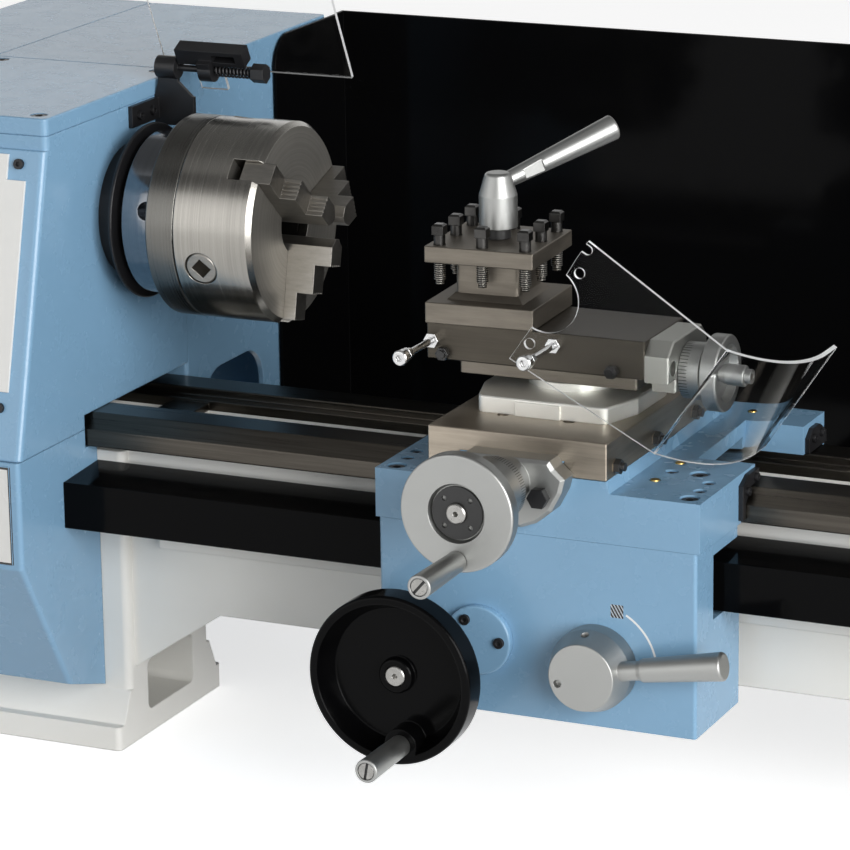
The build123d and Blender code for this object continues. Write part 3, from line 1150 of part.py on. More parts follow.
def chip_shield():
    """Clear plate that swings on the right long screw, with a curved lip along one side."""
    y0, y1 = SHIELD_Y - SHIELD_THICK / 2, SHIELD_Y + SHIELD_THICK / 2
    span = math.hypot(LIP_TOP[0] - LIP_END[0], LIP_TOP[1] - LIP_END[1])
    up = ((LIP_TOP[0] - LIP_END[0]) / span, (LIP_TOP[1] - LIP_END[1]) / span)
    out = (up[1], -up[0])
    grow = SHIELD_THICK / 2
    top = (LIP_TOP[0] + grow * out[0], LIP_TOP[1] + grow * out[1])
    end = (LIP_END[0] + grow * out[0], LIP_END[1] + grow * out[1])
    corners = [(-11.2, 0.7), (2.8, 20.6), (24.2, 52.7), (30.6, 63.1), (38.5, 74.6)]
    outline = [(SCREW_X + x, SCREW_Z + z) for x, z in corners] + [top, end]
    solid = along_y(outline, y0, y1)
    solid -= rod_y(y0 - 1, y1 + 1, SCREW_X + 12.2, SCREW_Z + 38.1, 20)
    across, rise = SCREW_LEFT[0] - SCREW_X, SCREW_LEFT[1] - SCREW_Z
    reach = math.hypot(across, rise)
    lift = math.atan2(rise, across) - math.radians(SHIELD_SWING)
    notch = (SCREW_X + reach * math.cos(lift), SCREW_Z + reach * math.sin(lift))
    solid -= rod_y(y0 - 1, y1 + 1, *notch, LONG_SCREW_R + 0.6)
    mouth = Pos(notch[0] - 5 * math.sin(lift), SHIELD_Y, notch[1] + 5 * math.cos(lift))
    solid -= mouth * Rot(Y=90 - math.degrees(lift)) * Box(10, 6, 2 * LONG_SCREW_R + 1.2)
    for x, z, r in ((0, 0, LONG_SCREW_R + LOOSE), (1.5, 10.7, 3.2), (32.9, 55.2, 3.2)):
        solid -= rod_y(y0 - 1, y1 + 1, SCREW_X + x, SCREW_Z + z, r)
    corner = (LIP_END[0], SHIELD_Y, LIP_END[1])
    section = Plane(origin=corner, x_dir=(out[0], 0, out[1]), z_dir=(up[0], 0, up[1]))
    c = LIP_R * math.sqrt(0.5)

    def arc_point(r, angle):
        a = math.radians(angle)
        return (-c + r * math.cos(a), c - r * math.sin(a))

    outer, inner = LIP_R + grow, LIP_R - grow
    edges = [ThreePointArc(arc_point(outer, 45), arc_point(outer, 22.5), arc_point(outer, 0)),
             Line(arc_point(outer, 0), (outer - c, LIP_REACH)),
             Line((outer - c, LIP_REACH), (inner - c, LIP_REACH)),
             Line((inner - c, LIP_REACH), arc_point(inner, 0)),
             ThreePointArc(arc_point(inner, 0), arc_point(inner, 22.5), arc_point(inner, 45)),
             Line(arc_point(inner, 45), arc_point(outer, 45))]
    return solid + extrude(section * make_face(edges), span)


# Tailstock

BARREL_X1 = TAIL_X0 + TAIL_LENGTH


def tailstock_body():
    """Casting on the ways with a round barrel for the quill."""
    c = SLIDE
    under = [(-BED_HALF - 6, 208), (-BED_HALF - 6, 232), (-30, 262), (30, 262), (BED_HALF, 232),
             (BED_HALF, REAR_TOP + c), (36, REAR_TOP + c), (36, WAY_TOP + c),
             (-BED_HALF + WAY_TOP - WAY_MID - c, WAY_TOP + c), (-BED_HALF - LOOSE, WAY_MID + c),
             (-BED_HALF - LOOSE, 208)]
    solid = along_x(under, TAIL_X0, BARREL_X1)
    solid += box(TAIL_X0 + 8, BARREL_X1 - 8, -20, 20, 255, SPINDLE_Z)
    barrel = rod_x(TAIL_X0 - 6, BARREL_X1 + 4, 0, SPINDLE_Z, BARREL_R)
    solid += fillet(barrel.edges(), 3)
    solid -= rod_x(TAIL_X0 - 7, BARREL_X1 - 6, 0, SPINDLE_Z, QUILL_R + RUN)
    solid -= rod_x(BARREL_X1 - 7, BARREL_X1 + 5, 0, SPINDLE_Z, TAIL_SHAFT_R + RUN)
    return solid - rod_y(-60, -19, TAIL_X0 + 70, 285, 6 + RUN)


def tail_quill():
    """Sliding barrel with a pointed centre."""
    front = TAIL_X0 - 6 - QUILL_OUT
    solid = rod_x(front, BARREL_X1 - 12, 0, SPINDLE_Z, QUILL_R)
    solid += rod_x(front - 12, front + 1, 0, SPINDLE_Z, 9)
    return solid + rod_x(front - 27, front - 12, 0, SPINDLE_Z, 0.4, 9)


def tail_wheel():
    """Handwheel of the quill with its hub and a fixed handle."""
    x = BARREL_X1 + 14
    solid = rod_x(x, x + 14, 0, SPINDLE_Z, TAIL_WHEEL_R)
    solid = fillet(solid.edges(), 3)
    solid -= rod_x(x + 8, x + 15, 0, SPINDLE_Z, 30)
    solid += rod_x(BARREL_X1 + 4.5, x + 12, 0, SPINDLE_Z, 14)
    solid += rod_x(BARREL_X1 - 8, BARREL_X1 + 5, 0, SPINDLE_Z, TAIL_SHAFT_R)
    return solid + rod_x(x + 12, x + 55, 0, SPINDLE_Z - 34, 5, 6.5)


def tail_clamp():
    """Lever that clamps the tailstock, on a shaft in its front."""
    x, z = TAIL_X0 + 70, 285
    solid = rod_y(-56, -19.5, x, z, 6) + rod_y(-58, -36, x, z, 11)
    bar = Plane(origin=(x, -48, z), z_dir=(0.5, 0, 0.866))
    lever = rod_z(0, 10, 0, 0, 4.5) + rod_z(10, 72, 0, 0, 4.5, 7.5)
    return solid + bar * fillet(lever.edges().sort_by(Axis.Z)[-1:], 5)


PARTS = (
    bed_casting, leadscrew, leadscrew_cover,
    headstock_casting, headstock_lid, headstock_screws, control_panel, speed_knob, stop_button,
    lower_housing, rear_housing, end_cover, splash_guard,
    bearing_cap, spindle, chuck_backplate, chuck_body,
    guard_bracket, guard_block, guard_sheet, guard_spring,
    saddle, saddle_oilers, saddle_wipers, carriage_screws, apron, boss_cover,
    carriage_wheel, carriage_shaft, carriage_grip, half_nut_lever, half_nut,
    cross_slide, cross_gib, cross_bracket, cross_screw, cross_wheel, cross_grip,
    swivel_plate, compound_base, top_slide, top_bracket, top_screw, top_wheel, top_grip,
    tool_post, tool_bolts, clamp_lever, top_slide_screws, chip_shield,
    tailstock_body, tail_quill, tail_wheel, tail_clamp,
)

for make in PARTS:
    export_step(make(), f"parts/{make.__name__}.step")
for letter, angle in zip("abc", JAW_ANGLES):
    export_step(chuck_jaw(angle), f"parts/chuck_jaw_{letter}.step")
    export_step(chuck_pinion(angle + 60), f"parts/chuck_pinion_{letter}.step")
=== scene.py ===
import json
import math

import bpy
from mathutils import Matrix, Vector


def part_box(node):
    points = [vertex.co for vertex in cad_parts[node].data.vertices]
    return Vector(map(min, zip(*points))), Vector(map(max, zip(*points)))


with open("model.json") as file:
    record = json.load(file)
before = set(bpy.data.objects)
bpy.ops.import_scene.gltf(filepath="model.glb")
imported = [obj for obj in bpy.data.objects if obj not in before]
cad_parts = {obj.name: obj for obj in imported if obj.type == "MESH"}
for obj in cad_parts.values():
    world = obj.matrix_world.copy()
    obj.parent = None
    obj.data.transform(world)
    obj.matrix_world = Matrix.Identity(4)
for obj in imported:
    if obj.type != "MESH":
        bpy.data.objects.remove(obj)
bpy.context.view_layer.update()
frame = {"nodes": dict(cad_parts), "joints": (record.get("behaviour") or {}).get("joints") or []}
NODES = frame["nodes"]
PIVOT = {j["name"]: j["pos_m"] for j in frame["joints"] if j["type"] == "hinge"}
X, Y, Z = range(3)


# Places that the materials need, in metres in the shared frame

def lowest(name, axis):
    """Where a piece starts along an axis."""
    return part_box(name)[0][axis]


def highest(name, axis):
    """Where a piece ends along an axis."""
    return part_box(name)[1][axis]


def axle_head(joint, grip):
    """The middle of a grip's front end."""
    x, _, z = PIVOT[joint]
    return (x, lowest(grip, Y), z)


HEAD_X = highest("headstock_casting", X)
SPINDLE = PIVOT["spindle_turn"]
CROSS = PIVOT["cross_turn"]
TOP_SCREW = PIVOT["top_turn"]
NUT = PIVOT["nut_lever_turn"]
WAY_LOW = highest("bed_casting", Z) - 0.020
POST_UNDER = highest("tool_post", Z) - 0.010
COLLAR_TOP = PIVOT["clamp_turn"][Z] + 0.0062
GIB_FACE = highest("cross_slide", X) + 0.0005
GIB_NUTS = ((lowest("top_slide", X) + 0.0110, 0, 0.2865), (highest("top_slide", X) - 0.0201, 0, 0.2860))
GIB_NUT_R = 0.0046
THREAD_PITCH = 0.0013

# The half-nut sign and the line along the lever's travel, from the lever's pivot
APRON_FRONT = lowest("apron", Y) + 0.0008
TRAVEL_R = (0.0367, 0.0380)
TRAVEL_ANGLE = (math.radians(14), math.radians(61))
SIGN_PLACE = (0.0125, 0.0343)
SIGN_SPAN = (-0.0040, 0.0040)
STRIPES_PER_M = 480
STRIPE_SLANT = 0.6
STRIPE_SHARE = 0.4

# The plate on the lower housing
PLATE_X = (HEAD_X - 0.0960, HEAD_X - 0.0060)
PLATE_Z = (0.1460, 0.2085)
PLATE_RIM = 0.0015

# The wheels' dials and the cross wheel's hub
CROSS_DIAL = (highest("cross_wheel", Y) - 0.0078, highest("cross_wheel", Y) - 0.0016)
CROSS_DIAL_R = 0.0190
CROSS_LINES = 80
TOP_DIAL = (lowest("top_wheel", X), lowest("top_wheel", X) + 0.0052)
TOP_DIAL_R = 0.0165
TOP_LINES = 50
LINE_SHARE = 0.2
HUB_R = 0.0157
HUB_BACK = lowest("cross_wheel", Y) + 0.003

# The slot in the head of a grip's axle; it is not cut, and its place is painted black as painted shade
SLOT_R = 0.006
SLOT_DEPTH = 0.003
SLOT_SPAN = (-0.0008, 0.0008)

# The chip shield's flat part, with a little room on both sides, and the slope of its lip's bend
SHIELD_FLAT = (PIVOT["shield_swing"][Y] - 0.0016, PIVOT["shield_swing"][Y] + 0.0016)
LIP_SLOPE = math.radians(56)

# Cosines above which a face is square to a direction, or at least half turned to it
SQUARE_ON = 0.9
HALF_ON = 0.5

# The part of a noise texture's range that is spread over two tones
WIDE = (0.30, 0.70)
NARROW = (0.35, 0.65)

LEAST_ROUGH = 0.03
BEVEL_SAMPLES = 6


# Node helpers

def material(name, color, rough, metal=0.0):
    """A new material, its node tree and its shader, with the constants on the shader's own sockets."""
    m = bpy.data.materials.new(name)
    m.use_nodes = True
    shader = m.node_tree.nodes["Principled BSDF"]
    shader.inputs["Base Color"].default_value = (*color, 1)
    shader.inputs["Roughness"].default_value = rough
    shader.inputs["Metallic"].default_value = metal
    return m, m.node_tree, shader


def node(nt, kind, **values):
    n = nt.nodes.new(kind)
    for key, value in values.items():
        setattr(n, key, value)
    return n


def place(nt, stretch=(1, 1, 1)):
    """Object coordinates, stretched."""
    coord = node(nt, "ShaderNodeTexCoord")
    mapping = node(nt, "ShaderNodeMapping")
    mapping.inputs["Scale"].default_value = stretch
    nt.links.new(coord.outputs["Object"], mapping.inputs["Vector"])
    return mapping.outputs["Vector"]


def axes(nt):
    """Object coordinates as three values."""
    coord = node(nt, "ShaderNodeTexCoord")
    split = node(nt, "ShaderNodeSeparateXYZ")
    nt.links.new(coord.outputs["Object"], split.inputs[0])
    return split.outputs


def facing(nt):
    """The face's own direction as three values."""
    geometry = node(nt, "ShaderNodeNewGeometry")
    split = node(nt, "ShaderNodeSeparateXYZ")
    nt.links.new(geometry.outputs["True Normal"], split.inputs[0])
    return split.outputs


def noise(nt, vector, scale, detail=4.0, rough=0.55):
    n = node(nt, "ShaderNodeTexNoise")
    n.inputs["Scale"].default_value = scale
    n.inputs["Detail"].default_value = detail
    n.inputs["Roughness"].default_value = rough
    nt.links.new(vector, n.inputs["Vector"])
    return n.outputs["Fac"]


def math_node(nt, op, a, b=None):
    """One operation on one or two values; each is a number or a socket."""
    n = node(nt, "ShaderNodeMath", operation=op)
    for i, v in enumerate((a, b)):
        if v is None:
            continue
        if isinstance(v, (int, float)):
            n.inputs[i].default_value = v
        else:
            nt.links.new(v, n.inputs[i])
    return n.outputs[0]


def minus(nt, a, b):
    return math_node(nt, "SUBTRACT", a, b)


def times(nt, a, b):
    return math_node(nt, "MULTIPLY", a, b)


def weighted(nt, a, share_a, b, share_b):
    """Two values, each times its share, added."""
    return math_node(nt, "ADD", times(nt, a, share_a), times(nt, b, share_b))


def blend(nt, fac, a, b):
    """Two values by a factor."""
    return weighted(nt, fac, b, minus(nt, 1.0, fac), a)


def size(nt, value):
    return math_node(nt, "ABSOLUTE", value)


def remap(nt, value, span, to):
    """A value moved from one span to another, and held within it."""
    n = node(nt, "ShaderNodeMapRange")
    limits = (*span, *to)
    for key, limit in zip(("From Min", "From Max", "To Min", "To Max"), limits):
        n.inputs[key].default_value = limit
    nt.links.new(value, n.inputs["Value"])
    return n.outputs["Result"]


def vary(nt, value, low, high, span=WIDE):
    """A noise value spread between two limits."""
    return remap(nt, value, span, (low, high))


def mix(nt, fac, a, b):
    """Two colours by a factor; a colour is a tuple or a socket."""
    n = node(nt, "ShaderNodeMix", data_type="RGBA")
    nt.links.new(fac, n.inputs["Factor"])
    for key, v in ((6, a), (7, b)):
        if isinstance(v, tuple):
            n.inputs[key].default_value = (*v, 1)
        else:
            nt.links.new(v, n.inputs[key])
    return n.outputs[2]


def tones(nt, value, dark, light, span=WIDE):
    """Two colours by a noise value."""
    return mix(nt, vary(nt, value, 0, 1, span), dark, light)


def scaled(color, factor):
    return tuple(min(1, c * factor) for c in color)


def grey(level):
    return (level, level, level)


def bump(nt, shader, height, strength, distance, edge=0.0):
    """Bump on the shader's normal, with edges softened when edge is given."""
    b = node(nt, "ShaderNodeBump")
    b.inputs["Strength"].default_value = strength
    b.inputs["Distance"].default_value = distance
    nt.links.new(height, b.inputs["Height"])
    if edge:
        soft = node(nt, "ShaderNodeBevel", samples=BEVEL_SAMPLES)
        soft.inputs["Radius"].default_value = edge
        nt.links.new(soft.outputs["Normal"], b.inputs["Normal"])
    nt.links.new(b.outputs["Normal"], shader.inputs["Normal"])


# Masks, one where they hold and else zero

def above(nt, value, limit):
    return math_node(nt, "GREATER_THAN", value, limit)


def below(nt, value, limit):
    return math_node(nt, "LESS_THAN", value, limit)


def within(nt, value, span):
    return times(nt, above(nt, value, span[0]), below(nt, value, span[1]))


def both(nt, *masks):
    """All of the masks at once."""
    total = masks[0]
    for m in masks[1:]:
        total = times(nt, total, m)
    return total


def either(nt, a, b):
    return math_node(nt, "MAXIMUM", a, b)


def inset(span, by):
    return (span[0] + by, span[1] - by)


def radius(nt, out, axis, centre):
    """Distance from a line along an axis, and the angle round it."""
    i, k = [n for n in range(3) if n != axis]
    u = minus(nt, out[i], centre[i])
    v = minus(nt, out[k], centre[k])
    return math_node(nt, "SQRT", weighted(nt, u, u, v, v)), math_node(nt, "ARCTAN2", v, u)


def dial_lines(nt, axis, centre, inner_r, band, count):
    """Lines round a dial: a band along its axis, outside an inner radius."""
    out = axes(nt)
    r, angle = radius(nt, out, axis, centre)
    turn = math_node(nt, "FRACT", times(nt, angle, count / (2 * math.pi)))
    return both(nt, above(nt, r, inner_r), within(nt, out[axis], band), below(nt, turn, LINE_SHARE))


def blacken(nt, sh, tone, mask, level):
    """A metal's colour, with black and no metal where the mask holds."""
    nt.links.new(mix(nt, mask, tone, grey(level)), sh.inputs["Base Color"])
    nt.links.new(minus(nt, 1.0, mask), sh.inputs["Metallic"])


# Paints

def paint(name, color, rough=0.26, peel=0.03, edge=0.0015, gloss=0.5, coat=0.1):
    """Gloss paint with fine orange peel and faint uneven gloss."""
    m, nt, sh = material(name, color, rough)
    sh.inputs["Coat Weight"].default_value = coat
    sh.inputs["Coat Roughness"].default_value = 0.12
    sh.inputs["Specular IOR Level"].default_value = gloss
    v = place(nt)
    tone = tones(nt, noise(nt, v, scale=9, detail=3), scaled(color, 0.975), scaled(color, 1.02))
    nt.links.new(tone, sh.inputs["Base Color"])
    uneven = vary(nt, noise(nt, v, scale=60, detail=3), max(LEAST_ROUGH, rough - 0.02), rough + 0.03)
    nt.links.new(uneven, sh.inputs["Roughness"])
    bump(nt, sh, noise(nt, v, scale=700, detail=2), strength=peel, distance=0.0006, edge=edge)
    return m, nt, sh, tone


def apron_paint(color):
    """Paint with a plain hatched sign and a white line along the half-nut lever's travel."""
    m, nt, sh, tone = paint("apron_paint", color, edge=0.0004)
    out = axes(nt)
    front = below(nt, out[Y], APRON_FRONT)
    r, angle = radius(nt, out, Y, NUT)
    line = both(nt, front, within(nt, r, TRAVEL_R), within(nt, angle, TRAVEL_ANGLE))
    x = minus(nt, out[X], NUT[X] + SIGN_PLACE[0])
    z = minus(nt, out[Z], NUT[Z] + SIGN_PLACE[1])
    square = both(nt, front, within(nt, x, SIGN_SPAN), within(nt, z, SIGN_SPAN))
    hatch = math_node(nt, "FRACT", weighted(nt, x, STRIPES_PER_M, z, STRIPES_PER_M * STRIPE_SLANT))
    sign = mix(nt, below(nt, hatch, STRIPE_SHARE), grey(0.01), (0.45, 0.5, 0.55))
    tone = mix(nt, square, tone, sign)
    nt.links.new(mix(nt, line, tone, (0.75, 0.76, 0.76)), sh.inputs["Base Color"])
    return m


def housing_paint(color):
    """Paint with a blank white plate in a dark rim on the front."""
    m, nt, sh, tone = paint("housing_paint", color)
    out = axes(nt)
    front = below(nt, facing(nt)[Y], -HALF_ON)
    plate = both(nt, front, within(nt, out[X], PLATE_X), within(nt, out[Z], PLATE_Z))
    inner_x, inner_z = inset(PLATE_X, PLATE_RIM), inset(PLATE_Z, PLATE_RIM)
    face = both(nt, plate, within(nt, out[X], inner_x), within(nt, out[Z], inner_z))
    tone = mix(nt, plate, tone, grey(0.02))
    nt.links.new(mix(nt, face, tone, (0.70, 0.70, 0.68)), sh.inputs["Base Color"])
    return m


def bed_material():
    """Painted casting whose ways are ground steel."""
    m, nt, sh = material("bed", (0.72, 0.71, 0.67), 0.35)
    v = place(nt)
    way = above(nt, axes(nt)[Z], WAY_LOW)
    cloud = noise(nt, v, scale=10, detail=3)
    lines = noise(nt, place(nt, (0.02, 1, 1)), scale=500, detail=5, rough=0.7)
    cream = tones(nt, cloud, (0.78, 0.77, 0.73), (0.83, 0.82, 0.78))
    steel = tones(nt, lines, (0.062, 0.055, 0.047), (0.095, 0.086, 0.073), NARROW)
    nt.links.new(mix(nt, way, cream, steel), sh.inputs["Base Color"])
    nt.links.new(way, sh.inputs["Metallic"])
    rough = blend(nt, way, vary(nt, cloud, 0.30, 0.42), vary(nt, lines, 0.26, 0.34))
    nt.links.new(rough, sh.inputs["Roughness"])
    height = weighted(nt, noise(nt, v, scale=500, detail=3), 0.5, lines, 0.1)
    bump(nt, sh, height, strength=0.10, distance=0.0006, edge=0.0015)
    return m


def dull(name, color, rough, strength=0.1, gloss=0.5, spread=0.2):
    """Blackened steel, plastic and the like: even colour with fine grain."""
    m, nt, sh = material(name, color, rough)
    sh.inputs["Specular IOR Level"].default_value = gloss
    v = place(nt)
    cloud = noise(nt, v, scale=30)
    tone = tones(nt, cloud, scaled(color, 1 - spread), scaled(color, 1 + spread))
    nt.links.new(tone, sh.inputs["Base Color"])
    nt.links.new(vary(nt, cloud, max(LEAST_ROUGH, rough - 0.04), rough + 0.06), sh.inputs["Roughness"])
    bump(nt, sh, noise(nt, v, scale=900, detail=3), strength, distance=0.0003, edge=0.0006)
    return m


# Metals

def worn(nt, color, marks, spread):
    """A metal's colour, darker and lighter by its marks."""
    return tones(nt, marks, scaled(color, 1 - spread), scaled(color, 1 + 0.6 * spread), NARROW)


def brushed(name, color, rough, stretch, scale=220.0, strength=0.06, spread=0.2):
    """Metal with fine lines; stretch is small along the lines."""
    m, nt, sh = material(name, color, rough, metal=1.0)
    lines = noise(nt, place(nt, stretch), scale, detail=5, rough=0.7)
    marks = weighted(nt, lines, 0.6, noise(nt, place(nt), scale=14), 0.4)
    tone = worn(nt, color, marks, spread)
    nt.links.new(tone, sh.inputs["Base Color"])
    nt.links.new(vary(nt, marks, rough - 0.07, rough + 0.08), sh.inputs["Roughness"])
    bump(nt, sh, lines, strength, distance=0.0004, edge=0.0006)
    return m, nt, sh, tone


def turned(name, color, rough, strength=0.05, face_rough=None):
    """Metal turned about the spindle: rings on its faces, grooves round it; the right face may be rougher."""
    m, nt, sh = material(name, color, rough, metal=1.0)
    out = axes(nt)
    r, _ = radius(nt, out, X, SPINDLE)
    join = node(nt, "ShaderNodeCombineXYZ")
    nt.links.new(r, join.inputs[0])
    nt.links.new(out[X], join.inputs[1])
    rings = noise(nt, join.outputs[0], scale=900, rough=0.7)
    marks = weighted(nt, rings, 0.65, noise(nt, place(nt), scale=22), 0.35)
    nt.links.new(worn(nt, color, marks, spread=0.2), sh.inputs["Base Color"])
    uneven = vary(nt, marks, rough - 0.05, rough + 0.08)
    if face_rough:
        uneven = blend(nt, above(nt, facing(nt)[X], SQUARE_ON), uneven, face_rough)
    nt.links.new(uneven, sh.inputs["Roughness"])
    bump(nt, sh, rings, strength, distance=0.0003, edge=0.0006)
    return m


def satin(name, color, rough=0.42):
    """Bead-blasted light metal."""
    m, nt, sh = material(name, color, rough, metal=1.0)
    v = place(nt)
    cloud = noise(nt, v, scale=25, detail=3)
    tone = tones(nt, cloud, scaled(color, 0.94), color)
    nt.links.new(tone, sh.inputs["Base Color"])
    nt.links.new(vary(nt, cloud, rough - 0.05, rough + 0.06), sh.inputs["Roughness"])
    bump(nt, sh, noise(nt, v, scale=1500, detail=2), strength=0.10, distance=0.0003, edge=0.0006)
    return m, nt, sh, tone


def cross_wheel_metal(color):
    """Satin wheel with a black hub disc and a marked dial."""
    m, nt, sh, tone = satin("cross_wheel_metal", color)
    lines = dial_lines(nt, Y, CROSS, CROSS_DIAL_R, CROSS_DIAL, CROSS_LINES)
    out = axes(nt)
    r, _ = radius(nt, out, Y, CROSS)
    hub = both(nt, below(nt, r, HUB_R), below(nt, out[Y], HUB_BACK))
    blacken(nt, sh, mix(nt, lines, tone, grey(0.03)), hub, 0.012)
    return m


def top_wheel_metal(color):
    """Satin wheel with a marked dial."""
    m, nt, sh, tone = satin("top_wheel_metal", color)
    lines = dial_lines(nt, X, TOP_SCREW, TOP_DIAL_R, TOP_DIAL, TOP_LINES)
    nt.links.new(mix(nt, lines, tone, grey(0.03)), sh.inputs["Base Color"])
    return m


def clamp_metal(color):
    """Satin lever whose collar under the hub is black."""
    m, nt, sh, tone = satin("clamp_metal", color)
    blacken(nt, sh, tone, below(nt, axes(nt)[Z], COLLAR_TOP), 0.015)
    return m


def slide_screw_metal():
    """Bright long screws, and black nuts on the gib screws."""
    m, nt, sh, tone = brushed("slide_screws", grey(0.66), 0.16, (1, 0.05, 1), scale=400, strength=0.03)
    out = axes(nt)
    nuts = [below(nt, radius(nt, out, Y, centre)[0], GIB_NUT_R) for centre in GIB_NUTS]
    blacken(nt, sh, tone, either(nt, *nuts), 0.02)
    return m


def axle_metal(name, head, slant):
    """Bright shaft; the slot in the head of its handle's axle is not cut, and is painted black as painted
    shade.
    """
    m, nt, sh, tone = brushed(name, (0.36, 0.353, 0.338), 0.28, (1, 0.05, 1))
    out = axes(nt)
    r, _ = radius(nt, out, Y, head)
    x, z = minus(nt, out[X], head[X]), minus(nt, out[Z], head[Z])
    aside = weighted(nt, x, -math.sin(slant), z, math.cos(slant))
    front = below(nt, out[Y], head[Y] + SLOT_DEPTH)
    # Painted shade: the uncut slot in the axle's head is painted black
    painted_slot_shade = both(nt, below(nt, r, SLOT_R), front, within(nt, aside, SLOT_SPAN))
    blacken(nt, sh, tone, painted_slot_shade, 0.008)
    return m


def gib_metal(color):
    """Ground gib whose adjusting screws are black."""
    m, nt, sh, tone = brushed("gib_steel", color, 0.34, (0.05, 0.05, 1), spread=0.3)
    blacken(nt, sh, tone, above(nt, axes(nt)[X], GIB_FACE), 0.012)
    return m


def bolt_metal():
    """Blackened bolts; below the post's top plate the uncut thread is a bump, with its crests painted bright
    as painted highlight.
    """
    m, nt, sh = material("tool_bolt_steel", (0.05, 0.049, 0.047), 0.32, metal=1.0)
    z = axes(nt)[Z]
    wave = math_node(nt, "SINE", times(nt, z, 2 * math.pi / THREAD_PITCH))
    thread = times(nt, wave, below(nt, z, POST_UNDER))
    cloud = noise(nt, place(nt), scale=60)
    base = tones(nt, cloud, (0.035, 0.034, 0.033), (0.075, 0.073, 0.070))
    # Painted highlight: bright stripes on the crests of the uncut thread, the roots left black
    painted_crest_highlight = remap(nt, thread, (0.2, 1.0), (0.0, 1.0))
    nt.links.new(mix(nt, painted_crest_highlight, base, (0.38, 0.36, 0.32)), sh.inputs["Base Color"])
    nt.links.new(vary(nt, cloud, 0.26, 0.40), sh.inputs["Roughness"])
    bump(nt, sh, thread, strength=0.6, distance=0.0004, edge=0.0005)
    return m


# Clear sheets

def guard_edges(nt):
    """The guard sheet's cut ends."""
    return above(nt, size(nt, facing(nt)[X]), SQUARE_ON)


def shield_edges(nt):
    """The cut edges of the shield's flat part and the ends of its lip."""
    n = facing(nt)
    flat = within(nt, axes(nt)[Y], SHIELD_FLAT)
    cut = both(nt, flat, below(nt, size(nt, n[Y]), HALF_ON))
    along = weighted(nt, n[X], math.cos(LIP_SLOPE), n[Z], math.sin(LIP_SLOPE))
    return either(nt, cut, above(nt, size(nt, along), SQUARE_ON))


def clear(name, edges):
    """Clear sheet with faint scuffs and brighter cut edges."""
    m, nt, sh = material(name, (0.98, 0.99, 0.99), 0.03)
    sh.inputs["Transmission Weight"].default_value = 1.0
    sh.inputs["IOR"].default_value = 1.45
    sh.inputs["Specular Tint"].default_value = (*grey(0.05), 1)
    v = place(nt)
    edge = edges(nt)
    scuff = remap(nt, noise(nt, v, scale=25, detail=3), (0.45, 0.8), (0.006, 0.03))
    nt.links.new(blend(nt, edge, scuff, 0.35), sh.inputs["Roughness"])
    nt.links.new(blend(nt, edge, 1.0, 0.45), sh.inputs["Transmission Weight"])
    bump(nt, sh, noise(nt, v, scale=6, detail=1), strength=0.006, distance=0.0004)
    return m


BLUE_COLOR = (0.198, 0.360, 0.525)
ALU_COLOR = (0.345, 0.348, 0.338)
STEEL_COLOR = (0.34, 0.297, 0.243)
ALONG_X = (0.03, 1, 1)
UPRIGHT_SLOT = math.radians(80)
SLANTED_SLOT = math.radians(49)

BLUE = paint("blue_paint", BLUE_COLOR)[0]
BLUE_SADDLE = paint("saddle_paint", BLUE_COLOR, edge=0.0004)[0]
BLACK_GLOSS = paint("gloss_black", (0.0022, 0.0022, 0.0024), rough=0.10, peel=0.006, edge=0.001,
                    gloss=0.05, coat=0.0)[0]
BLACK_WHEEL = paint("wheel_black", (0.0016, 0.0016, 0.0018), rough=0.15, peel=0.008, gloss=0.07, coat=0.0)[0]
BLACK = dull("black_steel", (0.010, 0.010, 0.011), 0.36, gloss=0.35)
WHITE = dull("white_plate", (0.72, 0.72, 0.70), 0.35, strength=0.05, spread=0.03)
PLASTIC = dull("black_plastic", grey(0.02), 0.45)
RED = dull("red_plastic", (0.45, 0.02, 0.015), 0.3)
STEEL_X = brushed("ground_along_x", (0.080, 0.071, 0.058), 0.42, ALONG_X, spread=0.3)[0]
STEEL_Y = brushed("ground_along_y", STEEL_COLOR, 0.44, (0.05, 0.05, 1), spread=0.3)[0]
POST = brushed("post_steel", (0.19, 0.170, 0.142), 0.50, (0.1, 0.1, 1), spread=0.3)[0]
JAW = brushed("jaw_steel", (0.29, 0.275, 0.25), 0.38, (0.2, 1, 1), scale=400)[0]
CHUCK = turned("chuck_steel", (0.32, 0.307, 0.281), 0.22, face_rough=0.5)
BACKPLATE = turned("backplate_steel", (0.15, 0.146, 0.135), 0.28)
CHROME = turned("chrome", (0.22, 0.235, 0.255), 0.10, strength=0.02)
ALU = satin("satin_aluminium", ALU_COLOR)[0]
BRACKET_ALU = satin("bracket_aluminium", (0.42, 0.42, 0.39))[0]
CAST = satin("grey_casting", (0.86, 0.85, 0.80), 0.5)[0]
BRASS = satin("brass", (0.62, 0.43, 0.14), 0.3)[0]

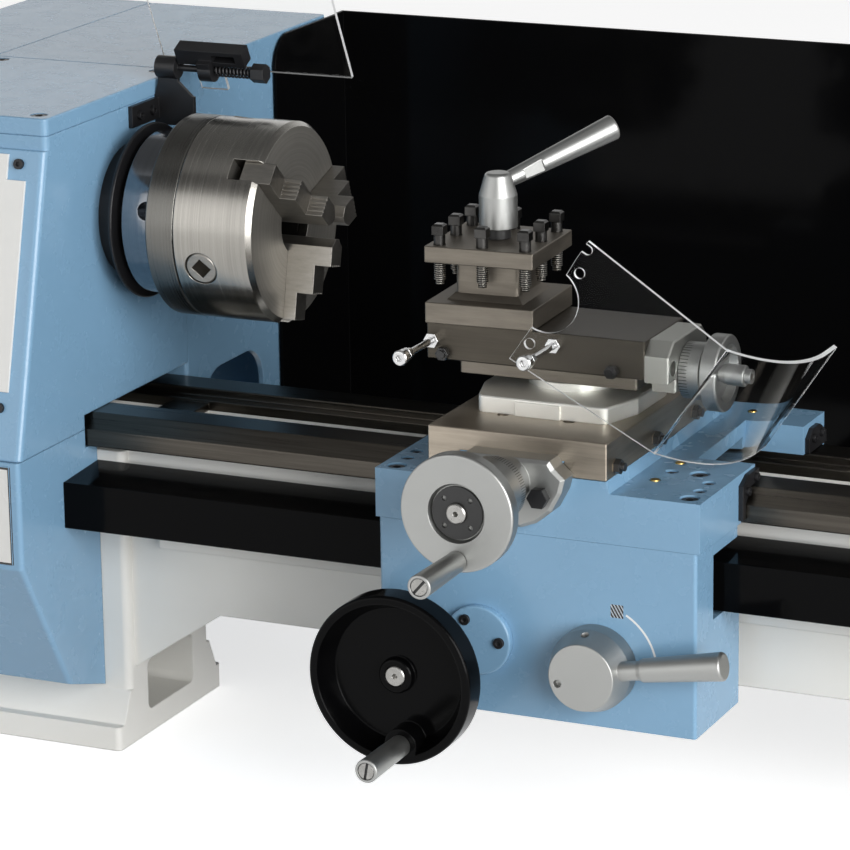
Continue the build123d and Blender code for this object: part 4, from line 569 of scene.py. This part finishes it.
LOOKS = {
    BLUE: ("headstock_casting", "headstock_lid", "rear_housing", "end_cover", "boss_cover", "tailstock_body"),
    BLUE_SADDLE: ("saddle",),
    apron_paint(BLUE_COLOR): ("apron",),
    housing_paint(BLUE_COLOR): ("lower_housing",),
    bed_material(): ("bed_casting",),
    BLACK_GLOSS: ("leadscrew_cover", "splash_guard"),
    BLACK_WHEEL: ("carriage_wheel",),
    BLACK: ("bearing_cap", "guard_bracket", "guard_block", "guard_spring", "headstock_screws",
            "carriage_screws", "saddle_wipers"),
    WHITE: ("control_panel",),
    PLASTIC: ("speed_knob",),
    RED: ("stop_button",),
    STEEL_X: ("top_slide", "leadscrew", "top_screw", "half_nut"),
    STEEL_Y: ("cross_slide",),
    gib_metal(STEEL_COLOR): ("cross_gib",),
    POST: ("tool_post", "compound_base"),
    bolt_metal(): ("tool_bolts",),
    slide_screw_metal(): ("top_slide_screws",),
    axle_metal("carriage_shaft_steel", axle_head("hand_grip_turn", "carriage_grip"), UPRIGHT_SLOT):
        ("carriage_shaft",),
    axle_metal("cross_screw_steel", axle_head("cross_grip_turn", "cross_grip"), SLANTED_SLOT):
        ("cross_screw",),
    CHUCK: ("chuck_body", "tail_quill"),
    BACKPLATE: ("chuck_backplate",),
    CHROME: ("spindle",),
    JAW: ("chuck_jaw_a", "chuck_jaw_b", "chuck_jaw_c", "chuck_pinion_a", "chuck_pinion_b", "chuck_pinion_c"),
    ALU: ("carriage_grip", "half_nut_lever", "cross_bracket", "cross_grip", "top_grip", "tail_wheel",
          "tail_clamp"),
    BRACKET_ALU: ("top_bracket",),
    cross_wheel_metal(ALU_COLOR): ("cross_wheel",),
    top_wheel_metal(ALU_COLOR): ("top_wheel",),
    clamp_metal(ALU_COLOR): ("clamp_lever",),
    CAST: ("swivel_plate",),
    BRASS: ("saddle_oilers",),
    clear("clear_guard", guard_edges): ("guard_sheet",),
    clear("clear_shield", shield_edges): ("chip_shield",),
}
for look, names in LOOKS.items():
    for name in names:
        mesh = NODES[name].data
        mesh.materials.clear()
        mesh.materials.append(look)


# Stage

FLOOR_SIZE = 40
FLOOR_Z = -0.0005
AIM = (0, 0, 0.25)
LAMPS = (
    dict(name="top", where=(-0.2, -0.6, 2.4), aim=AIM, size=(2.2, 1.6), power=3),
    dict(name="front_left", where=(-1.4, -2.4, 0.95), aim=(-0.1, 0, 0.25), size=(2.6, 1.8), power=12),
    dict(name="right", where=(3.7, -2.8, 1.45), aim=AIM, size=(3.6, 3.0), power=290),
)

# The height of a direction over which the white backdrop turns into the ceiling
CEILING_SPAN = (0.30, 0.65)

# The camera, solved from straight edges in the photo
CAMERA_PLACE = (0.832592, -2.219646, 0.906608)
CAMERA_TURN = math.radians(24.806)
CAMERA_DIP = math.radians(15.738)
CAMERA_ROLL = math.radians(-0.827)
FOCAL_PX = 4096.0
PHOTO_PX = 850.0
SENSOR_MM = 36.0


def choose_shader(nt, fac, a, b, output):
    """One shader where the factor is zero and another where it is one."""
    choose = node(nt, "ShaderNodeMixShader")
    nt.links.new(fac, choose.inputs[0])
    nt.links.new(a.outputs[0], choose.inputs[1])
    nt.links.new(b.outputs[0], choose.inputs[2])
    nt.links.new(choose.outputs[0], nt.nodes[output].inputs["Surface"])


def seen_ray(nt):
    """One for rays that show the surroundings: straight from the camera, mirrored or through a sheet."""
    path = node(nt, "ShaderNodeLightPath").outputs
    seen = either(nt, path["Is Camera Ray"], path["Is Transmission Ray"])
    return either(nt, seen, path["Is Glossy Ray"])


def floor_material():
    """White where it is seen, with the object's shadow on it, and darker to every other ray."""
    m, nt, sh = material("floor", grey(0.90), 0.9)
    sh.inputs["Specular IOR Level"].default_value = 0.0
    sh.inputs["Emission Color"].default_value = (*grey(1), 1)
    sh.inputs["Emission Strength"].default_value = 0.65
    dark = node(nt, "ShaderNodeBsdfDiffuse")
    dark.inputs["Color"].default_value = (*grey(0.42), 1)
    choose_shader(nt, seen_ray(nt), dark, sh, "Material Output")
    return m


def studio_world():
    """White backdrop under a darker ceiling where it is seen; elsewhere a soft fill, brighter from behind."""
    world = bpy.data.worlds.new("studio")
    bpy.context.scene.world = world
    world.use_nodes = True
    nt = world.node_tree
    coord = node(nt, "ShaderNodeTexCoord")
    way = node(nt, "ShaderNodeSeparateXYZ")
    nt.links.new(coord.outputs["Generated"], way.inputs[0])
    fill = nt.nodes["Background"]
    white = node(nt, "ShaderNodeBackground")
    for background in (fill, white):
        background.inputs["Color"].default_value = (*grey(1), 1)
    behind = remap(nt, way.outputs[Y], (0.0, 0.6), (0.28, 0.90))
    low = remap(nt, way.outputs[Z], CEILING_SPAN, (1.0, 0.2))
    nt.links.new(times(nt, behind, low), fill.inputs["Strength"])
    nt.links.new(remap(nt, way.outputs[Z], CEILING_SPAN, (1.0, 0.15)), white.inputs["Strength"])
    choose_shader(nt, seen_ray(nt), fill, white, "World Output")


def lamp(name, where, aim, size, power):
    data = bpy.data.lights.new(name, "AREA")
    data.shape = "RECTANGLE"
    data.size, data.size_y = size
    data.energy = power
    o = bpy.data.objects.new(name, data)
    o.location = where
    o.rotation_euler = (Vector(aim) - Vector(where)).to_track_quat("-Z", "Y").to_euler()
    bpy.context.collection.objects.link(o)


def stage():
    bpy.ops.mesh.primitive_plane_add(size=FLOOR_SIZE, location=(0, 0, FLOOR_Z))
    floor = bpy.context.object
    floor.data.materials.append(floor_material())
    studio_world()
    for values in LAMPS:
        lamp(**values)


def camera():
    data = bpy.data.cameras.new("camera")
    data.sensor_width = SENSOR_MM
    data.lens = FOCAL_PX / PHOTO_PX * SENSOR_MM
    data.clip_end = 100
    o = bpy.data.objects.new("camera", data)
    level = Matrix.Rotation(CAMERA_TURN, 4, "Z") @ Matrix.Rotation(math.pi / 2 - CAMERA_DIP, 4, "X")
    o.matrix_world = Matrix.Translation(CAMERA_PLACE) @ level @ Matrix.Rotation(CAMERA_ROLL, 4, "Z")
    bpy.context.collection.objects.link(o)
    bpy.context.scene.camera = o


stage()
camera()
bpy.context.scene.view_settings.view_transform = "Standard"
